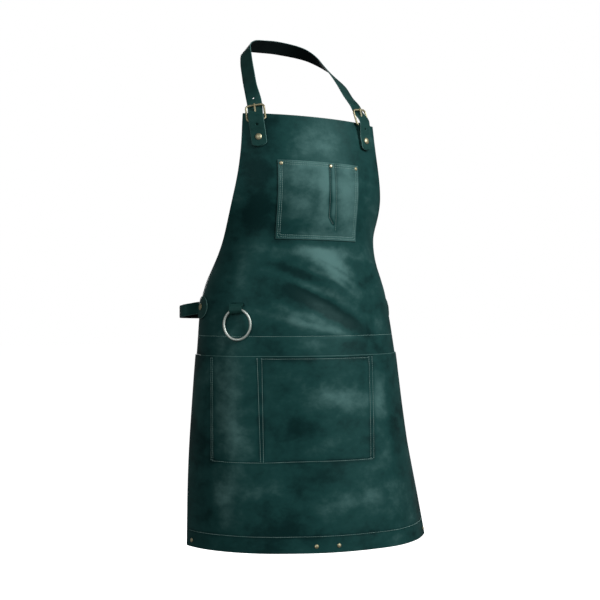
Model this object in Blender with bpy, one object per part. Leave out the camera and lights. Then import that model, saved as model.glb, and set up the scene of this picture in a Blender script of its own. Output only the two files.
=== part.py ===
"""A blacksmith's leather apron, held in the shape that it takes when worn.

Metres, +Z up, the wearer's front faces -Y and the wearer's right is -X.
The origin is the inner face of the neck strap at the nape, where the apron hangs.
The hide is worked out as a worn form: a point of it is given by its distance round
the body from the centre line (across) and by its distance below the bib's top edge (down).
"""
import math
from collections import namedtuple

import bmesh
import bpy
import numpy as np
from mathutils import Vector

# Whole apron
APRON_LENGTH = 0.842        # bib's top edge down to the hem
SKIRT_WIDTH = 0.600         # flat width from the waist down
BIB_WIDTH = 0.300           # flat width of the bib's top edge
ARMHOLE_HEIGHT = 0.365      # bib's top edge down to the waist corners
NECK_RISE = 0.171           # bib's top edge up to the nape
NAPE_BACK = 0.090           # body's upright axis back to the nape
CHEST_BREADTH = 0.360       # worn form across the chest
CHEST_DEPTH = 0.240         # worn form front to back at the chest
BIB_TILT = 0.040            # fall of the bib's top edge towards the wearer's left

# Hide and clearances
LEATHER = 0.0020
CHAPE_LEATHER = 0.0015
GAP = 0.0003
SEAT = 0.0006               # clearance of a small flat piece on the curved hide

# Chest pocket
CHEST_POCKET_WIDTH = 0.174
CHEST_POCKET_HEIGHT = 0.152
CHEST_POCKET_DROP = 0.090   # bib's top edge to the pocket's mouth

# Skirt panel, sewn over the lower apron as a row of pockets
SKIRT_PANEL_DROP = 0.468    # bib's top edge to the panel's mouth

# Neck strap and its buckles
STRAP_WIDTH = 0.030
STRAP_AT = 0.124            # centre line of the apron to the middle of a strap
RIGHT_STRAP_LEAN = 4.5      # degrees that each strap leans to the wearer's right
LEFT_STRAP_LEAN = 9.0
LEFT_STRAP_SHARE = 0.86     # the left strap's distance as a share of the right's
STRAP_SLIP = 0.006          # right strap set so far lower, left strap so far higher
STRAP_HOLE = 0.0036
STRAP_HOLE_PITCH = 0.028
PRONG_HOLE_RISE = 0.0090    # bib's top edge up to the hole that the prong is in
PRONG_HOLE_AT = 0.076       # strap's tip to that hole, along the strap
TIP_BELOW_BIB = 0.062
TIP_POINT = 0.006
CHAPE_LENGTH = 0.052
BUCKLE_WIRE = 0.0040
BUCKLE_INSIDE = 0.032
BUCKLE_PITCH = 0.031        # centre of the lower bar to the centre of the top bar
BUCKLE_CORNER = 0.006
LOWER_BAR_DROP = 0.009      # lower bar below the bib's top edge
PRONG_WIDTH = 0.0030
PRONG_THICK = 0.0020
BEHIND_BIB = 0.0036         # strap's middle behind the bib's face at the top bar

# Waist strap
WAIST_STRAP_WIDTH = 0.024
PADDLE_WIDTH = 0.046
PADDLE_AT = 0.252           # centre line of the apron to the paddle's stud
PADDLE_DROP = 0.3745
WAIST_HALF_BREADTH = 0.222
WAIST_BACK = 0.165
WAIST_STRAP_FALL = 0.014
WAIST_CORNER_BACK = 0.045   # body's upright axis back to where the straps leave the hide
STRAP_END_GAP = 0.0020      # between the two strap ends inside the clasp
CLASP_LENGTH = 0.046
CLASP_WALL = 0.0030

# Ring in its leather loop
RING_AT = 0.162             # centre line of the apron to the ring
SLIT_DROP = 0.370
SLIT_HEIGHT = 0.0052
RING_LOOP_WIDTH = 0.025
RING_LOOP_DROP = 0.011      # slit to the ring's pivot
RING_LOOP_TAIL = 0.022      # ring's pivot to the end of the leather behind the hide
RING_WIDTH = 0.058
RING_HEIGHT = 0.064
RING_WIRE = 0.0050
RING_PLAY = 0.0004          # clearance of the wire inside the loop

# Studs and rivets
STRAP_STUD = 0.0130
WAIST_STUD = 0.0130
POCKET_RIVET = 0.0072
HEM_STUD = 0.0080
STRAP_STUD_DROP = 0.043
HEM_STUD_INSET = 0.013
HEM_STUD_CORNER = 0.020
HEM_STUD_PAIR = 0.044
RIVET_INSET = 0.0065
MIDDLE_RIVET = 0.23         # middle rivet's distance as a share of the pocket's half width
DOME = 0.25                 # height of a domed head as a share of its width

# Resolution
POCKET_CELLS = 8
SIDE_CELLS = 10
ROW_PITCH = 0.028
STRAP_PITCH = 0.010

SKIRT_HALF = SKIRT_WIDTH / 2
BIB_HALF = BIB_WIDTH / 2
POCKET_HALF = CHEST_POCKET_WIDTH / 2
WIRE_R = BUCKLE_WIRE / 2

# The worn form. down is a share of APRON_LENGTH, breadth and depth are shares of
# CHEST_BREADTH and CHEST_DEPTH, turn is in degrees towards the wearer's right, and
# sway is a share of CHEST_BREADTH towards the wearer's left.
Section = namedtuple("Section", "down breadth depth turn sway")
SECTIONS = (
    Section(0.000, 0.980, 0.860, 0.0, 0.000),
    Section(0.172, 1.030, 1.000, 0.0, 0.000),
    Section(0.287, 0.910, 0.900, 0.0, 0.000),
    Section(0.425, 1.090, 0.960, 0.5, -0.006),
    Section(0.552, 1.160, 1.080, 2.0, 0.005),
    Section(0.677, 1.220, 1.180, 4.0, 0.015),
    Section(0.798, 1.290, 1.290, 6.0, 0.025),
    Section(1.000, 1.400, 1.510, 9.0, 0.042),
)

# The armhole's edge. down is a share of ARMHOLE_HEIGHT, and out is how far the edge
# has come from the bib's half width, 0, to the skirt's half width, 1.
Edge = namedtuple("Edge", "down out")
ARMHOLE = (
    Edge(0.00, 0.000),
    Edge(0.20, 0.055),
    Edge(0.40, 0.153),
    Edge(0.66, 0.353),
    Edge(0.84, 0.620),
    Edge(1.00, 1.000),
)

# Folds of the worn hide, ridges and valleys along a straight line on it. across is a
# share of SKIRT_HALF, down of APRON_LENGTH, height and width of CHEST_BREADTH.
Fold = namedtuple("Fold", "across down to_across to_down height width")
FOLDS = (
    Fold(-0.12, 0.320, 0.27, 0.430, 0.016, 0.075),
    Fold(-0.05, 0.400, 0.18, 0.462, -0.012, 0.060),
    Fold(0.34, 0.300, 0.62, 0.400, 0.014, 0.070),
    Fold(-0.34, 0.300, -0.60, 0.385, 0.012, 0.070),
    Fold(-0.56, 0.470, -0.60, 0.900, 0.017, 0.100),
    Fold(0.45, 0.600, 0.52, 1.020, 0.020, 0.120),
    Fold(-0.18, 0.640, -0.22, 1.020, -0.012, 0.110),
    Fold(0.86, 0.620, 0.90, 1.020, -0.016, 0.100),
)

# Route of the neck strap from the buckles to the nape. rise is a share of NECK_RISE,
# right and left are its distances from the centre line as shares of STRAP_AT, on the
# wearer's right and left, slip is how far the left side lies lower, as a share of
# NECK_RISE, and back is a share of the way from the body's axis to the nape. right_edge and
# left_edge give the way inward, forward and up to the edge that lies towards the neck.
Route = namedtuple("Route", "rise right left slip back right_edge left_edge")
NECK_ROUTE = (
    Route(0.345, 0.977, 0.738, 0.025, -0.570, (0.55, 0.80, 0.15), (0.85, 0.30, 0.15)),
    Route(0.550, 0.917, 0.731, 0.058, -0.200, (0.55, 0.75, 0.30), (0.95, 0.30, 0.28)),
    Route(0.740, 0.862, 0.692, 0.115, 0.111, (0.55, 0.70, 0.46), (0.88, 0.45, 0.40)),
    Route(0.877, 0.800, 0.640, 0.149, 0.333, (0.40, 0.68, 0.60), (0.75, 0.60, 0.40)),
    Route(0.948, 0.640, 0.610, 0.137, 0.580, (0.25, 0.66, 0.70), (0.55, 0.70, 0.50)),
    Route(0.985, 0.370, 0.450, 0.066, 0.830, (0.10, 0.64, 0.76), (0.31, 0.68, 0.66)),
)
NAPE_EDGE = Vector((0.0, -0.62, 0.78))

# How the strap comes down from over the prong to behind the top bar. out is a share of
# its height over the lower bar, and up of the way from the bib's edge to the top bar.
Bend = namedtuple("Bend", "out up")
STRAP_BENDS = (
    Bend(0.720, 0.140),
    Bend(0.330, 0.390),
    Bend(-0.065, 0.610),
)

# Route of the waist strap round the back, as shares of WAIST_HALF_BREADTH, WAIST_BACK and
# WAIST_STRAP_FALL.
Turn = namedtuple("Turn", "out back fall")
WAIST_ROUTE = (
    Turn(1.000, 0.100, 0.45),
    Turn(0.985, 0.420, 0.72),
    Turn(0.860, 0.720, 0.85),
    Turn(0.560, 0.930, 0.95),
    Turn(0.260, 0.995, 1.00),
)

MATERIALS = {
    "leather": ((0.012, 0.045, 0.045, 1.0), 0.52, 0.0),
    "leather_edge": ((0.010, 0.030, 0.030, 1.0), 0.60, 0.0),
    "brass": ((0.42, 0.33, 0.18, 1.0), 0.34, 1.0),
    "nickel": ((0.62, 0.60, 0.54, 1.0), 0.28, 1.0),
}


def clear_scene():
    for item in list(bpy.data.objects):
        bpy.data.objects.remove(item, do_unlink=True)


def material(name):
    found = bpy.data.materials.get(name)
    if found:
        return found
    colour, roughness, metallic = MATERIALS[name]
    made = bpy.data.materials.new(name)
    made.use_nodes = True
    shader = made.node_tree.nodes["Principled BSDF"]
    shader.inputs["Base Color"].default_value = colour
    shader.inputs["Roughness"].default_value = roughness
    shader.inputs["Metallic"].default_value = metallic
    return made


def column(rows, name):
    return np.array([getattr(row, name) for row in rows])


def through(x, xs, ys):
    """A smooth curve through the points (xs, ys), read at x."""
    slopes = np.gradient(ys, xs)
    x = np.clip(x, xs[0], xs[-1])
    i = np.clip(np.searchsorted(xs, x) - 1, 0, len(xs) - 2)
    step = xs[i + 1] - xs[i]
    t = (x - xs[i]) / step
    start = (1 + 2 * t) * (1 - t) ** 2 * ys[i] + t * (1 - t) ** 2 * step * slopes[i]
    end = t * t * (3 - 2 * t) * ys[i + 1] + t * t * (t - 1) * step * slopes[i + 1]
    return start + end


def half_width(down):
    """Half of the hide's flat width at a distance below the bib's top edge."""
    share = through(down / ARMHOLE_HEIGHT, column(ARMHOLE, "down"), column(ARMHOLE, "out"))
    return BIB_HALF + (SKIRT_HALF - BIB_HALF) * share


def fold_height(across, down):
    """How far the folds lift the hide off its plain form."""
    lift = 0.0
    for fold in FOLDS:
        start = np.array((fold.across * SKIRT_HALF, fold.down * APRON_LENGTH))
        end = np.array((fold.to_across * SKIRT_HALF, fold.to_down * APRON_LENGTH))
        run = end - start
        offset = np.array((across, down)) - start
        along = np.clip(np.dot(offset, run) / np.dot(run, run), 0.0, 1.0)
        away = np.linalg.norm(offset - along * run) / (fold.width * CHEST_BREADTH)
        swell = 0.35 + 0.65 * math.sin(math.pi * along)
        lift += fold.height * CHEST_BREADTH * swell * math.exp(-away * away)
    return lift


def worn(across, down, lift=0.0):
    """A point of the hide's inner face, lifted outward, and the outward direction there."""
    share = down / APRON_LENGTH
    shares = column(SECTIONS, "down")
    half = CHEST_BREADTH / 2 * through(share, shares, column(SECTIONS, "breadth"))
    deep = CHEST_DEPTH / 2 * through(share, shares, column(SECTIONS, "depth"))
    turn = math.radians(through(share, shares, column(SECTIONS, "turn")))
    sway = CHEST_BREADTH * through(share, shares, column(SECTIONS, "sway"))
    angles = np.linspace(0.0, math.pi, 361)
    speed = np.hypot(half * np.cos(angles), deep * np.sin(angles))
    length = np.concatenate(((0.0,), np.cumsum((speed[1:] + speed[:-1]) / 2) * angles[1]))
    angle = math.copysign(np.interp(abs(across), length, angles), across)
    point = Vector((half * math.sin(angle), -deep * math.cos(angle), 0.0))
    normal = Vector((deep * math.sin(angle), -half * math.cos(angle), 0.0)).normalized()
    point += normal * (lift + fold_height(across, down))
    cos, sin = math.cos(-turn), math.sin(-turn)
    point = Vector((point.x * cos - point.y * sin, point.x * sin + point.y * cos, 0.0))
    normal = Vector((normal.x * cos - normal.y * sin, normal.x * sin + normal.y * cos, 0.0))
    fall = down + BIB_TILT * point.x * max(0.0, 1.0 - share / 0.5)
    return Vector((point.x + sway, point.y - NAPE_BACK, -NECK_RISE - fall)), normal


def new_object(name, mesh, finish):
    made = bpy.data.objects.new(name, mesh)
    made.data.materials.append(material(finish))
    bpy.context.scene.collection.objects.link(made)
    return made


def solid(name, points, faces, finish):
    """A closed mesh object with its faces pointing out."""
    mesh = bpy.data.meshes.new(name)
    mesh.from_pydata([tuple(point) for point in points], [], faces)
    body = bmesh.new()
    body.from_mesh(mesh)
    bmesh.ops.recalc_face_normals(body, faces=body.faces)
    body.to_mesh(mesh)
    body.free()
    return new_object(name, mesh, finish)


def grid_solid(name, inner, outer, finish):
    """A sheet with two faces: inner and outer are equal grids of points."""
    rows, columns = len(inner), len(inner[0])
    points = [p for row in inner for p in row] + [p for row in outer for p in row]
    top = rows * columns

    def at(row, col, side):
        return side * top + row * columns + col

    faces = []
    for row in range(rows - 1):
        for col in range(columns - 1):
            for side in (0, 1):
                a, b = at(row, col, side), at(row, col + 1, side)
                c, d = at(row + 1, col + 1, side), at(row + 1, col, side)
                corners = ((a, b, c), (a, c, d))
                faces += corners if side else [face[::-1] for face in corners]
    ring = [(0, col) for col in range(columns)]
    ring += [(row, columns - 1) for row in range(1, rows)]
    ring += [(rows - 1, col) for col in range(columns - 2, -1, -1)]
    ring += [(row, 0) for row in range(rows - 2, 0, -1)]
    for here, there in zip(ring, ring[1:] + ring[:1]):
        faces.append((at(*here, 0), at(*there, 0), at(*there, 1), at(*here, 1)))
    return solid(name, points, faces, finish)


def cut(target, cutter, operation="DIFFERENCE"):
    """Cut target by a guide that the model leaves out."""
    cutter.hide_render = True
    cutter.display_type = "WIRE"
    modifier = target.modifiers.new(cutter.name, "BOOLEAN")
    modifier.operation = operation
    modifier.object = cutter
    modifier.solver = "EXACT"


def prism(name, outline, frame, half, finish):
    """An outline in a frame's (out, up) plane, extruded to both sides of that plane."""
    count = len(outline)
    points = [frame.at(side * half, up, out) for side in (-1, 1) for out, up in outline]
    faces = [tuple(range(count)), tuple(range(2 * count - 1, count - 1, -1))]
    for i in range(count):
        j = (i + 1) % count
        faces.append((i, j, count + j, count + i))
    return solid(name, points, faces, finish)


def rod(name, start, end, radius, sides, finish):
    """A plain round bar between two points."""
    axis = (end - start).normalized()
    side = axis.orthogonal().normalized()
    other = axis.cross(side)
    points = []
    for centre in (start, end):
        for i in range(sides):
            turn = 2 * math.pi * i / sides
            points.append(centre + radius * (math.cos(turn) * side + math.sin(turn) * other))
    faces = [tuple(range(sides)), tuple(range(2 * sides - 1, sides - 1, -1))]
    for i in range(sides):
        j = (i + 1) % sides
        faces.append((i, j, sides + j, sides + i))
    return solid(name, points, faces, finish)


def wire(name, points, radius, finish, resolution=2):
    """A closed loop of round wire through the points."""
    curve = bpy.data.curves.new(name, "CURVE")
    curve.dimensions = "3D"
    curve.bevel_depth = radius
    curve.bevel_resolution = resolution
    spline = curve.splines.new("POLY")
    spline.points.add(len(points) - 1)
    for knot, point in zip(spline.points, points):
        knot.co = (*point, 1.0)
    spline.use_cyclic_u = True
    return new_object(name, curve, finish)


def dome(name, seat, normal, width, finish, sides=14):
    """A domed head, flat underneath, seated on a point."""
    side = normal.orthogonal().normalized()
    other = normal.cross(side)
    height = DOME * width
    rings = ((0.5, 0.0), (0.5, 0.25), (0.40, 0.66), (0.22, 0.93))
    points = []
    for reach, rise in rings:
        for i in range(sides):
            turn = 2 * math.pi * i / sides
            flat = reach * width * (math.cos(turn) * side + math.sin(turn) * other)
            points.append(seat + flat + rise * height * normal)
    points += [seat + height * normal]
    faces = [tuple(range(sides))]
    for ring in range(len(rings) - 1):
        for i in range(sides):
            j = (i + 1) % sides
            a, b = ring * sides, (ring + 1) * sides
            faces.append((a + i, a + j, b + j, b + i))
    last, tip = (len(rings) - 1) * sides, len(points) - 1
    faces += [(last + i, last + (i + 1) % sides, tip) for i in range(sides)]
    return solid(name, points, faces, finish)


class Frame:
    """A flat place on the hide: right along it, up it, and out of it."""

    def __init__(self, across, down, span, lift=LEATHER, lean=0.0, slide=0.0):
        self.origin, flat = worn(across, down, lift)
        below, _ = worn(across, down + span, lift)
        up = (self.origin - below).normalized()
        right = up.cross(flat).normalized()
        cos, sin = math.cos(math.radians(lean)), math.sin(math.radians(lean))
        self.up = cos * up - sin * right
        self.right = cos * right + sin * up
        self.out = self.right.cross(self.up).normalized()
        self.origin += slide * self.up

    def at(self, right, up, out):
        return self.origin + right * self.right + up * self.up + out * self.out


def bib_frame(side):
    """The place of a buckle on the bib's top edge."""
    across = STRAP_AT if side < 0 else LEFT_STRAP_SHARE * STRAP_AT
    lean = RIGHT_STRAP_LEAN if side < 0 else LEFT_STRAP_LEAN
    lift = LEATHER + SEAT - GAP
    return Frame(side * across, 0.0, TIP_BELOW_BIB, lift, lean, side * STRAP_SLIP)


def row_levels():
    """Rows of the hide, with one at every edge that another piece shares."""
    levels = [0.0, CHEST_POCKET_DROP, CHEST_POCKET_DROP + CHEST_POCKET_HEIGHT]
    levels += [ARMHOLE_HEIGHT, SKIRT_PANEL_DROP, APRON_LENGTH]
    rows = [0.0]
    for start, end in zip(levels, levels[1:]):
        count = max(1, round((end - start) / ROW_PITCH))
        rows += [start + (end - start) * i / count for i in range(1, count + 1)]
    return rows


def column_across(line, down):
    """Where a column line runs: level over the pocket, spread evenly beyond it."""
    middle = POCKET_CELLS // 2
    if abs(line) <= middle:
        return POCKET_HALF * line / middle
    share = (abs(line) - middle) / SIDE_CELLS
    reach = POCKET_HALF + share * (half_width(down) - POCKET_HALF)
    return math.copysign(reach, line)


def hide(name, lines, rows, layer, finish="leather"):
    """A sheet of hide that follows the worn form, so many layers out."""
    lift = layer * (LEATHER + GAP)
    inner, outer = [], []
    for down in rows:
        inner.append([worn(column_across(line, down), down, lift)[0] for line in lines])
        outer.append([worn(column_across(line, down), down, lift + LEATHER)[0] for line in lines])
    return grid_solid(name, inner, outer, finish)


def all_lines():
    reach = POCKET_CELLS // 2 + SIDE_CELLS
    return range(-reach, reach + 1)


def make_hides():
    """The body of the apron, the skirt panel over it and the chest pocket."""
    rows = row_levels()
    body = hide("body_panel", all_lines(), rows, 0)
    skirt_rows = [row for row in rows if row > SKIRT_PANEL_DROP - GAP]
    hide("skirt_panel", all_lines(), skirt_rows, 1)
    pocket_end = CHEST_POCKET_DROP + CHEST_POCKET_HEIGHT
    pocket_rows = [row for row in rows if CHEST_POCKET_DROP - GAP < row < pocket_end + GAP]
    middle = POCKET_CELLS // 2
    hide("chest_pocket", range(-middle, middle + 1), pocket_rows, 1)
    return body


def smooth_path(points, pitch):
    """Points about a pitch apart on a smooth curve through the given ones."""
    points = [Vector(point) for point in points]
    marks = [0.0]
    for here, there in zip(points, points[1:]):
        marks.append(marks[-1] + (there - here).length)
    marks = np.array(marks)
    count = max(2, round(marks[-1] / pitch))
    places = np.linspace(0.0, marks[-1], count + 1)
    axes = [through(places, marks, np.array([p[i] for p in points])) for i in range(3)]
    return [Vector(place) for place in zip(*axes)], places, marks


def directions_along(places, marks, edges):
    """Edge directions at places along a path, from those at its marks."""
    axes = [through(places, marks, np.array([edge[i] for edge in edges])) for i in range(3)]
    return [Vector(edge).normalized() for edge in zip(*axes)]


def band(name, centres, edges, halves, thick, finish="leather"):
    """A flat band: its middle line, the direction of one edge and its half widths."""
    inner, outer = [], []
    for i, centre in enumerate(centres):
        ahead = centres[min(i + 1, len(centres) - 1)] - centres[max(i - 1, 0)]
        normal = ahead.cross(edges[i]).normalized()
        edge = normal.cross(ahead).normalized()
        row = [centre - halves[i] * edge, centre + halves[i] * edge]
        inner.append([point - thick / 2 * normal for point in row])
        outer.append([point + thick / 2 * normal for point in row])
    return grid_solid(name, inner, outer, finish)


def bar_heights():
    """How far out the lower bar, the strap over it and the top bar stand from the bib."""
    lower = GAP + CHAPE_LEATHER + GAP + WIRE_R
    over = lower + WIRE_R + GAP + CHAPE_LEATHER + GAP + LEATHER / 2
    upper = LEATHER / 2 - BEHIND_BIB + GAP + WIRE_R
    return lower, over, upper


def strap_side(side):
    """Middle points and edge directions of one side of the neck strap, tip to nape."""
    frame = bib_frame(side)
    _, over, _ = bar_heights()
    flat = GAP + 2 * CHAPE_LEATHER + GAP + LEATHER / 2
    top = BUCKLE_PITCH - LOWER_BAR_DROP
    profile = [
        (flat, -TIP_BELOW_BIB),
        (flat, -0.72 * TIP_BELOW_BIB),
        (flat + GAP / 3, -LOWER_BAR_DROP - 0.74 * BUCKLE_PITCH),
        ((flat + over) / 2, -LOWER_BAR_DROP - 0.39 * BUCKLE_PITCH),
        (over, -LOWER_BAR_DROP),
        (over - GAP, -LOWER_BAR_DROP + 0.23 * BUCKLE_PITCH),
    ]
    profile += [(bend.out * over, bend.up * top) for bend in STRAP_BENDS]
    profile += [(-BEHIND_BIB, 0.84 * top), (-BEHIND_BIB - LEATHER * 0.4, top)]
    inward = frame.right * -side
    points = [frame.at(0.0, up, out) for out, up in profile]
    edges = [inward for _ in profile]
    for row in NECK_ROUTE:
        out = (row.right if side < 0 else row.left) * STRAP_AT
        slip = 0.0 if side < 0 else row.slip * NECK_RISE
        back = row.back * NAPE_BACK - NAPE_BACK
        points.append(Vector((side * out, back, NECK_RISE * (row.rise - 1) - slip)))
        inward, front, up = row.right_edge if side < 0 else row.left_edge
        edges.append(Vector((-side * inward, -front, up)))
    return points, edges, len(profile)


def make_neck_strap():
    """One strap from tip to tip, through both buckles and round the nape."""
    right, right_edges, fixed = strap_side(-1)
    left, left_edges, _ = strap_side(1)
    nape = Vector((0.0, LEATHER / 2, 0.0))
    knots = right + [nape] + left[::-1]
    edges = right_edges + [NAPE_EDGE] + left_edges[::-1]
    centres, places, marks = smooth_path(knots, STRAP_PITCH / 2.5)
    keep = []
    tight = marks[fixed]
    for i, place in enumerate(places):
        near_end = min(place, places[-1] - place)
        if near_end < tight or i % 3 == 0 or i == len(places) - 1:
            keep.append(i)
    edge_dirs = directions_along(places, marks, edges)
    radius = ((STRAP_WIDTH / 2) ** 2 + TIP_POINT ** 2) / (2 * TIP_POINT)
    halves = []
    for place in places:
        near_end = min(place, places[-1] - place) + 0.0003
        rise = max(0.0, radius - near_end)
        halves.append(math.sqrt(radius ** 2 - rise ** 2) if near_end < TIP_POINT else STRAP_WIDTH / 2)
    strap = band(
        "neck_strap",
        [centres[i] for i in keep],
        [edge_dirs[i] for i in keep],
        [halves[i] for i in keep],
        LEATHER,
    )
    for side in (-1, 1):
        frame = bib_frame(side)
        word = "right" if side < 0 else "left"
        slot = box_at(f"cut_prong_{word}", frame, PRONG_WIDTH / 2 + SEAT,
                      (-GAP, 2 * PRONG_HOLE_RISE), prong_line(PRONG_HOLE_RISE), PRONG_THICK / 2 + SEAT)
        cut(strap, slot)
        lower = frame.at(0.0, PRONG_HOLE_RISE - STRAP_HOLE_PITCH, 0.0)
        hole = rod(f"cut_hole_low_{word}", lower + 0.004 * frame.out, lower + 0.020 * frame.out,
                   STRAP_HOLE / 2, 10, "leather_edge")
        cut(strap, hole)
        above = hole_above(side, places, centres, edge_dirs)
        hole = rod(f"cut_hole_high_{word}", above[0] - 0.01 * above[1], above[0] + 0.01 * above[1],
                   STRAP_HOLE / 2, 10, "leather_edge")
        cut(strap, hole)
    return strap


def hole_above(side, places, centres, edge_dirs):
    """Middle and direction of the strap hole one pitch above the prong."""
    distance = PRONG_HOLE_AT + STRAP_HOLE_PITCH
    place = distance if side < 0 else places[-1] - distance
    i = int(np.argmin(np.abs(places - place)))
    ahead = (centres[i + 1] - centres[i - 1]).normalized()
    return centres[i], ahead.cross(edge_dirs[i]).normalized()


def prong_line(up):
    """How far out the prong's middle stands at a height above the bib's edge."""
    lower, _, upper = bar_heights()
    start = -LOWER_BAR_DROP
    end = BUCKLE_PITCH - LOWER_BAR_DROP
    rest = upper + WIRE_R + GAP + PRONG_THICK / 2
    return lower + (rest - lower) * (up - start) / (end - start)


def box_at(name, frame, half, ups, out, thick):
    """A guide box in a frame that leans with the prong."""
    lean = prong_line(ups[1]) - prong_line(ups[0])
    outline = (
        (out - lean / 2 - thick, ups[0]),
        (out - lean / 2 + thick, ups[0]),
        (out + lean / 2 + thick, ups[1]),
        (out + lean / 2 - thick, ups[1]),
    )
    return prism(name, outline, frame, half, "leather_edge")


def arc(centre, radius, start, end, steps):
    """Points of an arc in the (out, up) plane, angles in degrees."""
    turns = [math.radians(start + (end - start) * i / steps) for i in range(steps + 1)]
    return [(centre[0] + radius * math.cos(t), centre[1] + radius * math.sin(t)) for t in turns]


def make_chape(side, word):
    """The folded leather that holds the buckle's lower bar to the bib."""
    frame = bib_frame(side)
    lower = bar_heights()[0]
    centre = (lower, -LOWER_BAR_DROP)
    outside = WIRE_R + GAP + CHAPE_LEATHER
    double = GAP + 2 * CHAPE_LEATHER
    outline = [(GAP, -CHAPE_LENGTH)]
    outline += arc(centre, outside, 180, 0, 12)
    outline += [
        (lower + 0.80 * outside, -LOWER_BAR_DROP - 1.2 * outside),
        (double + 0.27 * outside, -LOWER_BAR_DROP - 2.8 * outside),
        (double, -LOWER_BAR_DROP - 4.3 * outside),
        (double, -CHAPE_LENGTH),
    ]
    chape = prism(f"chape_{word}", outline, frame, STRAP_WIDTH / 2, "leather")
    ends = [frame.at(s * STRAP_WIDTH, -LOWER_BAR_DROP, lower) for s in (-1, 1)]
    cut(chape, rod(f"cut_bar_{word}", *ends, WIRE_R + GAP, 16, "leather_edge"))
    foot = -LOWER_BAR_DROP - outside - WIRE_R / 2
    notch = ((-outside, foot), (-outside, 0.0), (3 * outside, 0.0), (3 * outside, foot))
    cut(chape, prism(f"cut_notch_{word}", notch, frame, PRONG_WIDTH / 2 + 2 * GAP, "leather_edge"))


def make_buckle(side, word):
    """The wire frame and the prong that turns on its lower bar."""
    frame = bib_frame(side)
    lower, _, upper = bar_heights()
    half = BUCKLE_INSIDE / 2 + WIRE_R
    corners = ((half, 0.0, 2 * WIRE_R), (half, 1.0, BUCKLE_CORNER))
    corners += ((-half, 1.0, BUCKLE_CORNER), (-half, 0.0, 2 * WIRE_R))
    starts = (-90, 0, 90, 180)
    points = []
    for (right, share, radius), start in zip(corners, starts):
        sign = 1 if share == 0.0 else -1
        middle = (right - math.copysign(radius, right), share * BUCKLE_PITCH + sign * radius)
        for right_at, along in arc(middle, radius, start, start + 90, 4):
            up = along - LOWER_BAR_DROP
            out = lower + (upper - lower) * along / BUCKLE_PITCH
            points.append(frame.at(right_at, up, out))
    wire(f"buckle_frame_{word}", points, WIRE_R, "brass")

    eye = WIRE_R + GAP + 0.6 * PRONG_THICK
    centre = (lower, -LOWER_BAR_DROP)
    half_thick = PRONG_THICK / 2
    tip = BUCKLE_PITCH - LOWER_BAR_DROP + WIRE_R + half_thick
    shoulder = math.degrees(math.asin(half_thick / eye))
    outline = arc(centre, eye, 90 + shoulder, 450 - shoulder, 20)
    outline += [(prong_line(tip) + half_thick, tip - half_thick), (prong_line(tip), tip)]
    outline += [(prong_line(tip) - half_thick, tip - half_thick)]
    prong = prism(f"buckle_prong_{word}", outline, frame, PRONG_WIDTH / 2, "brass")
    ends = [frame.at(s * STRAP_WIDTH, -LOWER_BAR_DROP, lower) for s in (-1, 1)]
    cut(prong, rod(f"cut_eye_{word}", *ends, WIRE_R + GAP, 16, "leather_edge"))


def stud(name, across, down, lift, width):
    """A domed head seated on the leather at a place of the worn form."""
    seat, _ = worn(across, down, lift)
    span = worn(across + width, down, lift)[0] - worn(across - width, down, lift)[0]
    above = worn(across, down - width, lift)[0]
    below = worn(across, min(down + width, APRON_LENGTH), lift)[0]
    normal = span.cross(above - below).normalized()
    dome(name, seat + SEAT * normal, normal, width, "brass", 12)


def make_studs():
    """Domed heads, each seated on the leather that it fastens."""
    strap_face = 2 * CHAPE_LEATHER + 3 * GAP + LEATHER
    for side, word in ((-1, "right"), (1, "left")):
        frame = bib_frame(side)
        seat = frame.at(0.0, -STRAP_STUD_DROP, strap_face)
        dome(f"strap_stud_{word}", seat, frame.out, STRAP_STUD, "brass")
        lift = paddle_lift() + LEATHER / 2
        stud(f"waist_stud_{word}", side * PADDLE_AT, PADDLE_DROP, lift, WAIST_STUD)
    top = CHEST_POCKET_DROP + RIVET_INSET
    places = (RIVET_INSET - POCKET_HALF, MIDDLE_RIVET * POCKET_HALF, POCKET_HALF - RIVET_INSET)
    for number, across in enumerate(places, 1):
        stud(f"pocket_rivet_{number}", across, top, 2 * LEATHER + GAP, POCKET_RIVET)
    level = APRON_LENGTH - HEM_STUD_INSET
    corner = SKIRT_HALF - HEM_STUD_CORNER
    for number, across in enumerate((-corner, -HEM_STUD_PAIR / 2, HEM_STUD_PAIR / 2, corner), 1):
        stud(f"hem_stud_{number}", across, level, 2 * LEATHER + GAP, HEM_STUD)


def paddle_lift():
    """Middle of the waist strap's leather over the hide's inner face."""
    return LEATHER + 2 * SEAT + LEATHER / 2


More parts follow.
